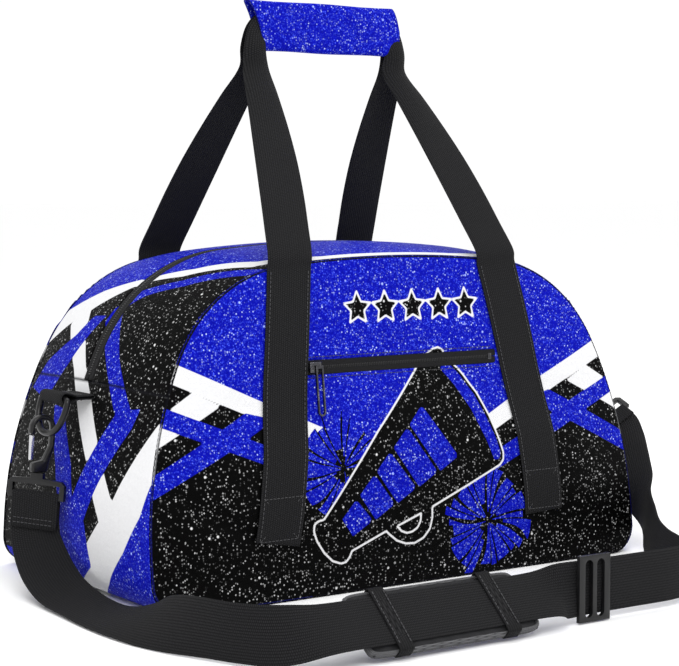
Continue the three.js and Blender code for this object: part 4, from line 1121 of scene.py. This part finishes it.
# Gusset: one band of the same cloth round both panels, in a lower piece and two upper ones that
# hold the main zip between them.
skin_gusset = skin[gusset_index]
fine_gusset = finer(skin_gusset, 2, looped=True)
columns = len(rim) * 2
steps = np.arange(columns) / 2
wrapped_run = np.append(rim_run, rim_run[0] + PERIMETER)
fine_run = np.interp(steps, np.arange(len(wrapped_run)), wrapped_run)
fine_point, fine_way = on_outline(fine_run)
fine_half = half_depth(fine_point[:, 1])
seam_gap = fine_half[None] - np.abs(fine_gusset[..., 1])
inward = np.zeros_like(fine_gusset)
inward[..., 0], inward[..., 2] = -fine_way[:, 0], -fine_way[:, 1]
tuck = 1.1 * np.exp(-(seam_gap / ROLL) ** 2)
tuck += (1.0 * np.exp(-((np.abs(fine_gusset[..., 1]) - ZIP_HALF) / 1.5) ** 2)
         * (np.abs(PERIMETER / 2 - fine_run) < ZIP_RUN + 1)[None])
fine_gusset = fine_gusset + inward * tuck[..., None]
fine_gusset[..., 2] = np.maximum(fine_gusset[..., 2], 0.2)


def gusset_print(run, y):
    """Blue over the crown and back, edged by a white stripe that sweeps forward over the shoulder;
    below it white and blue bands cross on black down to the front corner. run is the distance from
    the middle of the crown."""
    field_edge = [(-90, -84), (60, -83), (110, -74), (140, -38), (156, -3), (172, 52), (188, 92), (204, 140)]
    field = polygon(run, y, field_edge + [(-90, 140)])
    stripe = polygon(run, y, field_edge + [(242, 140), (217, 95), (201, 68), (192, 49), (177, 24), (163, 1),
                                           (151, -37), (120, -82), (78, -91), (-90, -91)])
    long_arm = polygon(run, y, [(262, -106), (302, -114), (330, -102), (358, -82), (386, -53), (412, -16),
                                (388, 2), (326, -66)])
    short_arm = polygon(run, y, [(190, 48), (203, 70), (238, 27), (262, 5), (303, -29), (348, -54),
                                 (326, -68), (296, -46), (259, -16), (236, 8)])
    beside_zip = polygon(run, y, [(112, -97), (120, -90), (155, -43), (173, -3), (189, 9), (200, 10),
                                  (228, -17), (262, -49), (270, -62), (262, -72), (244, -53), (227, -36),
                                  (194, -9), (188, -4), (175, -19), (160, -52), (132, -92)])
    slant = polygon(run, y, [(262, -54), (257, -80), (272, -76), (345, -26), (330, -10)])
    foot = polygon(run, y, [(324, 10), (330, -14), (345, -28), (376, -32), (392, -6), (361, 12)])
    under_ring = polygon(run, y, [(266, 42), (268, 22), (306, -6), (332, -12), (364, 8), (327, 14),
                                  (309, 19)])
    behind = polygon(run, y, [(262, 72), (256, 98), (234, 83), (212, 47), (196, 33), (195, 14), (224, 33),
                              (256, 55)])
    corner = polygon(run, y, [(300, -112), (300, -140), (520, -140), (520, -30), (412, -16), (386, -53),
                              (358, -82), (330, -102)])
    low_back = polygon(run, y, [(384, 140), (384, 64), (402, 30), (520, 30), (520, 140)])
    over = united(beside_zip, slant, foot, under_ring, behind)
    white = np.maximum(united(stripe, long_arm, short_arm), -over)
    return united(field, over, corner, low_back), np.maximum(white, -corner)


from_crown = np.abs(PERIMETER / 2 - fine_run)
print_run = np.broadcast_to(from_crown[None], seam_gap.shape)
blue, white = gusset_print(print_run, fine_gusset[..., 1])
top_columns = np.flatnonzero(from_crown <= ZIP_RUN)
first_top, last_top = top_columns[0], top_columns[-1]
low_columns = np.arange(last_top, first_top + columns + 1) % columns
top_seam = np.abs(from_crown - ZIP_RUN)[None] + 0 * seam_gap
front_rows = np.arange(0, 2 * DEPTH_CELLS + 1)
back_rows = np.arange(2 * DEPTH_CELLS + 4, fine_gusset.shape[0])
all_rows = np.arange(fine_gusset.shape[0])
for name, rows_used, columns_used, cad_node, slot_name in (
        ("gusset_lower_cloth", all_rows, low_columns, "gusset_lower", "black_glitter"),
        ("gusset_top_front_cloth", front_rows, top_columns, "gusset_top_front", "blue_glitter"),
        ("gusset_top_back_cloth", back_rows, top_columns, "gusset_top_back", "blue_glitter")):
    pick = np.ix_(rows_used, columns_used)
    gap = np.minimum(seam_gap, top_seam)[pick]
    facts = {"print_blue": blue[pick], "print_white": white[pick], "seam": gap}
    piece = cloth_piece(name, fine_gusset[pick], facts)
    dress(piece, plain_cloth, "bag", slot_name, cad_node)


# Zips: nylon coil on dark tape, sewn in behind the edges of the cloth. The tapes nearly meet over
# the coil. The main one follows the outline; the pocket's is straight and leans with the panel.
# its two colours: painted shade in the weave's gaps, painted highlight on its ribs
tape_cloth = woven("zip tape", (0.003, 0.003, 0.0035), (0.013, 0.013, 0.014), 0.0008, 0.0010, 0.7, 0.3)
nylon = hard("zip coil nylon", (0.006, 0.006, 0.0065), (0.022, 0.022, 0.024), 0.4, 0.55)


def along_zip(run, y, rise):
    """Points over the main zip: the outline pushed out by the gusset's swell there and by rise."""
    point, way = on_outline(PERIMETER / 2 + run)
    out = end_swell(point[:, 1], y) + rise
    place = np.stack([point[:, 0] + way[:, 0] * out, np.full(len(point), y),
                      point[:, 1] + way[:, 1] * out], -1)
    return place, np.stack([way[:, 0], 0 * way[:, 0], way[:, 1]], -1)


zip_runs = np.linspace(-ZIP_RUN + 1, ZIP_RUN - 1, 240)
for side, name in ((-1, "front"), (1, "back")):
    line, _ = along_zip(zip_runs, side * 3.45, -0.9)
    tape = band(f"main_tape_{name}", line * MM, np.array([0, 1.0, 0]), width=6.3 * MM, thick=1.0 * MM)
    dress(tape, tape_cloth, "bag", "webbing", f"main_zip_tape_{name}")
coil_runs = np.arange(-ZIP_RUN + 4, ZIP_RUN - 4, 1.8)
coil_line, coil_up = along_zip(coil_runs, 0.0, -0.75)
coil = repeated("main_coil_teeth", bead(3.4 * MM, 1.25 * MM, 1.5 * MM), coil_line * MM,
                np.broadcast_to([0, 1.0, 0], coil_line.shape), coil_up)
dress(coil, nylon, "bag", "zip_coil", "main_zip_coil")
PANEL_SLOPE = PANEL_LEAN / PANEL_HEIGHT
OUT_OF_FRONT = unit([0, -1, PANEL_SLOPE])


def on_front(x, z, rise):
    """Points on the front panel's flat plane, raised off it."""
    x, z = np.broadcast_arrays(np.asarray(x, float), np.asarray(z, float))
    return np.stack([x, -half_depth(z), z], -1) + rise * OUT_OF_FRONT


for side, name in ((-1, "lower"), (1, "upper")):
    tape_x = np.linspace(-POCKET_HALF + 0.4, POCKET_HALF + 4.6, 60)
    line = on_front(tape_x, POCKET_ZIP_Z + side * 2.75, -0.75)
    tape = band(f"pocket_tape_{name}", line * MM, np.array([0, PANEL_SLOPE, 1.0]), width=5.1 * MM,
                thick=0.9 * MM)
    dress(tape, tape_cloth, "bag", "webbing", f"pocket_zip_tape_{name}")
teeth = on_front(np.arange(-POCKET_HALF + 5.5, POCKET_HALF - 5.5, 1.6), POCKET_ZIP_Z, -0.7)
pocket_coil = repeated("pocket_coil_teeth", bead(3.0 * MM, 1.1 * MM, 1.4 * MM), teeth * MM,
                       np.broadcast_to([0, PANEL_SLOPE, 1.0], teeth.shape),
                       np.broadcast_to(OUT_OF_FRONT, teeth.shape))
dress(pocket_coil, nylon, "bag", "zip_coil", "pocket_zip_coil")
# sewing beside the pocket's zip, and the edge of its slot
zip_seams = []
for z_at in (POCKET_ZIP_Z - 7.6, POCKET_ZIP_Z + 7.6):
    seam_line = on_front(np.linspace(-POCKET_HALF + 1, POCKET_HALF - 1, 30), z_at, 0.35)
    zip_seams.append((seam_line * MM, OUT_OF_FRONT))
dress(stitched("pocket_zip_stitches", zip_seams, 0.003, 0.0005), thread_material, "bag", "webbing")


# Handles: four bands of webbing sewn up the panels with a box of stitching at each foot. Above the
# panel each rises on its own, gathers into a trough and turns into the end of the grip.
GRIP_Z, GRIP_HALF, GRIP_HIGH, FLAP_HALF = 421.5, 64.0, 19.5, 60
HANDLE_WIDE = 38


for depth_name, face in (("front", -1), ("back", 1)):
    swell_of = front_swell if face < 0 else back_swell
    for side_name, side in (("left", -1), ("right", 1)):
        sewn_z = np.array([43, 60, 80, 105, 130, 155, 180, 205, 225, 238], float)
        sewn_x = side * web_x(sewn_z)
        if depth_name == "front":
            # the front bands stand a little further towards +X, most at the middle of the panel
            sewn_x = sewn_x + (2.5 if side < 0 else 5.5) * np.sin(math.pi * (sewn_z - 43) / 201)
        edge_swell = [swell_of(sewn_x + off, sewn_z) for off in (-16.0, 0.0, 16.0)]
        sewn_y = face * (half_depth(sewn_z) + np.maximum.reduce(edge_swell) + 1.15)
        sewn = np.stack([sewn_x, sewn_y, sewn_z], -1)
        foot = np.array([side * 95.6, face * (half_depth(246) + 1.6), 249.0])
        top = np.array([side * 66, face * 3.2, 388.0])
        t = np.array([0, 0.15, 0.32, 0.5, 0.68, 0.85, 1.0])
        rise = foot + (top - foot) * t[:, None]
        rise[:, 1] += face * 5 * np.sin(math.pi * t)
        turn_in = np.array([[side * 66.5, face * 2.6, 404], [side * 61.5, face * 1.9, 417.5],
                            [side * 49, face * 1.4, 421.5], [side * 30, face * 1.4, 421.5]])
        line = np.vstack([sewn, rise, turn_in])
        way = np.tile([1.0, 0, 0], (len(line), 1))
        way[-4:] = [[1, 0, side * 0.15], [0.72, 0, side * 0.7], [0.05, 0, side * 1.0], [0, 0, side * 1.0]]
        wide = np.full(len(line), float(HANDLE_WIDE))
        wide[-9:] = [HANDLE_WIDE, 36.5, 33, 28.5, 23.5, 20, 21, 27, 34]
        table = smooth(np.column_stack([line, way, wide]), 6)
        width = table[:, 6]
        # 0.45 of the depth of a shallow arc that would take up the width the webbing has lost
        trough = 0.45 * np.sqrt(np.maximum(3 * width * (HANDLE_WIDE - width) / 8, 0))
        trough *= ease(table[:, 2], 300, 380) * (1 - 0.75 * ease(table[:, 2], 405, 419))
        handle = band(f"handle_{depth_name}_{side_name}", table[:, :3] * MM, table[:, 3:6], width * MM,
                      WEB_THICK, cup=face * trough * MM)
        dress(handle, webbing_cloth, None, "webbing", f"webbing_{depth_name}_{side_name}",
              f"handle_leg_{depth_name}_{side_name}")
        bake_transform(handle)
        face_up = np.array([0, face, PANEL_SLOPE])

        def on_band(dx, z):
            """Places on the sewn band's face, dx from its middle line."""
            return np.stack([np.interp(z, sewn_z, sewn_x) + dx,
                             np.interp(z, sewn_z, sewn_y) + face * 0.95, z], -1)

        box_low, box_high, box_half = 46.0, 76.0, 16.0
        edge_z = np.linspace(box_low, 236, 30)
        rows_of_thread = [(on_band(dx, edge_z) * MM, face_up) for dx in (-16.2, 16.2)]
        for start_x, start_z, stop_x, stop_z in (
                (-box_half, box_low, box_half, box_low), (-box_half, box_high, box_half, box_high),
                (box_half, box_low, -box_half, box_high), (-box_half, box_low, box_half, box_high)):
            ends = np.stack([on_band(start_x, start_z), on_band(stop_x, stop_z)])
            rows_of_thread.append((ends * MM, face_up))
        dress(stitched(f"handle_{depth_name}_{side_name}_stitches", rows_of_thread), thread_material, "bag",
              "webbing")


# Grip: a padded wrap of the printed cloth that holds both handles together. It is closed by a
# flap at its back.
def all_blue(points):
    """Print values for cloth that is blue all over."""
    far_off = np.full(points.shape[:2], 9.0)
    return {"print_blue": -far_off, "print_white": far_off}


s = np.linspace(-1, 1, 96)[:, None]
a = np.linspace(0, 2 * math.pi, 64, endpoint=False)[None, :]
up = GRIP_HIGH * superpower(np.cos(a), 0.32)
out = superpower(np.sin(a), 0.45)
up_share = up / GRIP_HIGH
left_end = -GRIP_HALF - 3.2 - 6.0 * up_share + 3.5 * (1 - up_share ** 2)
right_end = GRIP_HALF + 1.5 + 4.5 * (1 - up_share ** 2) - 2 * up_share
x = left_end + (right_end - left_end) * (s + 1) / 2
full = 5.2 + 0.9 * (1 - s ** 6) * (1 - up_share ** 4)
ripple = 0.35 * np.sin(9 * s + 3 * up_share) * (1 - s ** 4) + 0.25 * np.sin(23 * s - 5 * up_share)
wrap_points = np.stack([x, out * full + ripple * np.abs(out),
                        GRIP_Z + up * (0.985 + 0.015 * np.cos(5 * s)) + 0 * x], -1)
wrap_facts = all_blue(wrap_points)
wrap_facts["seam"] = np.minimum(x - left_end, right_end - x) + 0.8
wrap = cloth_piece("grip_wrap_cloth", wrap_points, wrap_facts, 1.4, tube=True)
dress(wrap, plain_cloth, "grip", "blue_glitter", "grip_wrap")
for face, name in ((-1, "front"), (1, "back")):
    run = np.stack([np.linspace(-60, 60, 40), np.full(40, face * 1.3), np.full(40, GRIP_Z)], -1)
    inner = band(f"grip_band_{name}", run * MM, np.array([0, 0, 1.0]), width=34 * MM, thick=WEB_THICK)
    dress(inner, webbing_cloth, "grip", "webbing", f"grip_webbing_{name}")
v = np.linspace(-1, 1, 30)[:, None]
s = np.linspace(-1, 1, 70)[None, :]
flap_points = np.stack([s * FLAP_HALF + 0 * v,
                        5.95 + 0.75 * (1 - s ** 6) * (1 - v ** 4) - 1.6 * np.abs(v) ** 9 + 0 * s,
                        GRIP_Z + 17.6 * v + 0.3 * np.sin(7 * s)], -1)
flap_facts = all_blue(flap_points)
flap_facts["seam"] = FLAP_HALF - np.abs(flap_points[..., 0]) + 0.6
flap = cloth_piece("grip_flap_cloth", flap_points, flap_facts, 1.2)
dress(flap, plain_cloth, "grip_flap", "blue_glitter", "grip_flap")


# Inside the bag: the pocket's lining, the bound seam allowances and the base board. They show only
# through an open zip, and keep their solids' shapes.
lining_cloth, lining_tree, lining_shader = plain_material("woven lining")
lining_place = lining_tree.nodes.new("ShaderNodeTexCoord")
lining_weave = lining_tree.nodes.new("ShaderNodeTexChecker")
lining_weave.inputs["Scale"].default_value = 1400
tint(lining_weave, "Color1", (0.030, 0.030, 0.034))
tint(lining_weave, "Color2", (0.050, 0.050, 0.056))
lining_relief = lining_tree.nodes.new("ShaderNodeBump")
lining_relief.inputs["Distance"].default_value = 0.0002
wire(lining_tree, (lining_place.outputs["Object"], lining_weave.inputs["Vector"]),
     (lining_weave.outputs["Color"], lining_shader.inputs["Base Color"]),
     (lining_weave.outputs["Fac"], lining_relief.inputs["Height"]),
     (lining_relief.outputs[0], lining_shader.inputs["Normal"]))
lining_shader.inputs["Roughness"].default_value = 0.85
board_plastic = hard("base board", (0.02, 0.02, 0.021), (0.06, 0.06, 0.062), 0.45, 0.6)
for name in ("pocket_lining", "pocket_wall_left", "pocket_wall_right", "seam_binding_front",
             "seam_binding_back"):
    nodes[name].data.materials.clear()
    nodes[name].data.materials.append(lining_cloth)
nodes["base_board"].data.materials.clear()
nodes["base_board"].data.materials.append(board_plastic)


# Studio: a white floor and an even white sky, with three large soft lamps: one at the front left,
# a weaker one at the front right and a weaker one overhead.
floor_mesh = bpy.data.meshes.new("floor")
floor_mesh.from_pydata([(-30, -30, 0), (30, -30, 0), (30, 30, 0), (-30, 30, 0)], [], [(0, 1, 2, 3)])
floor = bpy.data.objects.new("floor", floor_mesh)
bpy.context.scene.collection.objects.link(floor)
floor_paint, _, floor_shader = plain_material("floor paint")
tint(floor_shader, "Base Color", (0.96, 0.96, 0.96))
floor_shader.inputs["Roughness"].default_value = 0.9
floor_shader.inputs["Specular IOR Level"].default_value = 0.1
floor_mesh.materials.append(floor_paint)
world = bpy.data.worlds.new("studio")
bpy.context.scene.world = world
world.use_nodes = True
sky = next(n for n in world.node_tree.nodes if n.type == "BACKGROUND")
sky.inputs["Color"].default_value = (1, 1, 1, 1)
sky.inputs["Strength"].default_value = 1.04
# inks and dyes keep their own colours
bpy.context.scene.view_settings.view_transform = "Standard"
for name, place, size, power in (("key", (-1.1, -1.6, 1.9), 1.2, 26), ("fill", (1.7, -1.3, 1.2), 1.4, 10),
                                 ("top", (0.1, 0.3, 2.2), 1.6, 12)):
    lamp_data = bpy.data.lights.new(name, "AREA")
    lamp_data.size = size
    lamp_data.energy = power
    lamp = bpy.data.objects.new(name, lamp_data)
    bpy.context.scene.collection.objects.link(lamp)
    lamp.location = place
    aim = Vector((-place[0], -place[1], 0.18 - place[2]))
    lamp.rotation_euler = aim.to_track_quat("-Z", "Y").to_euler()
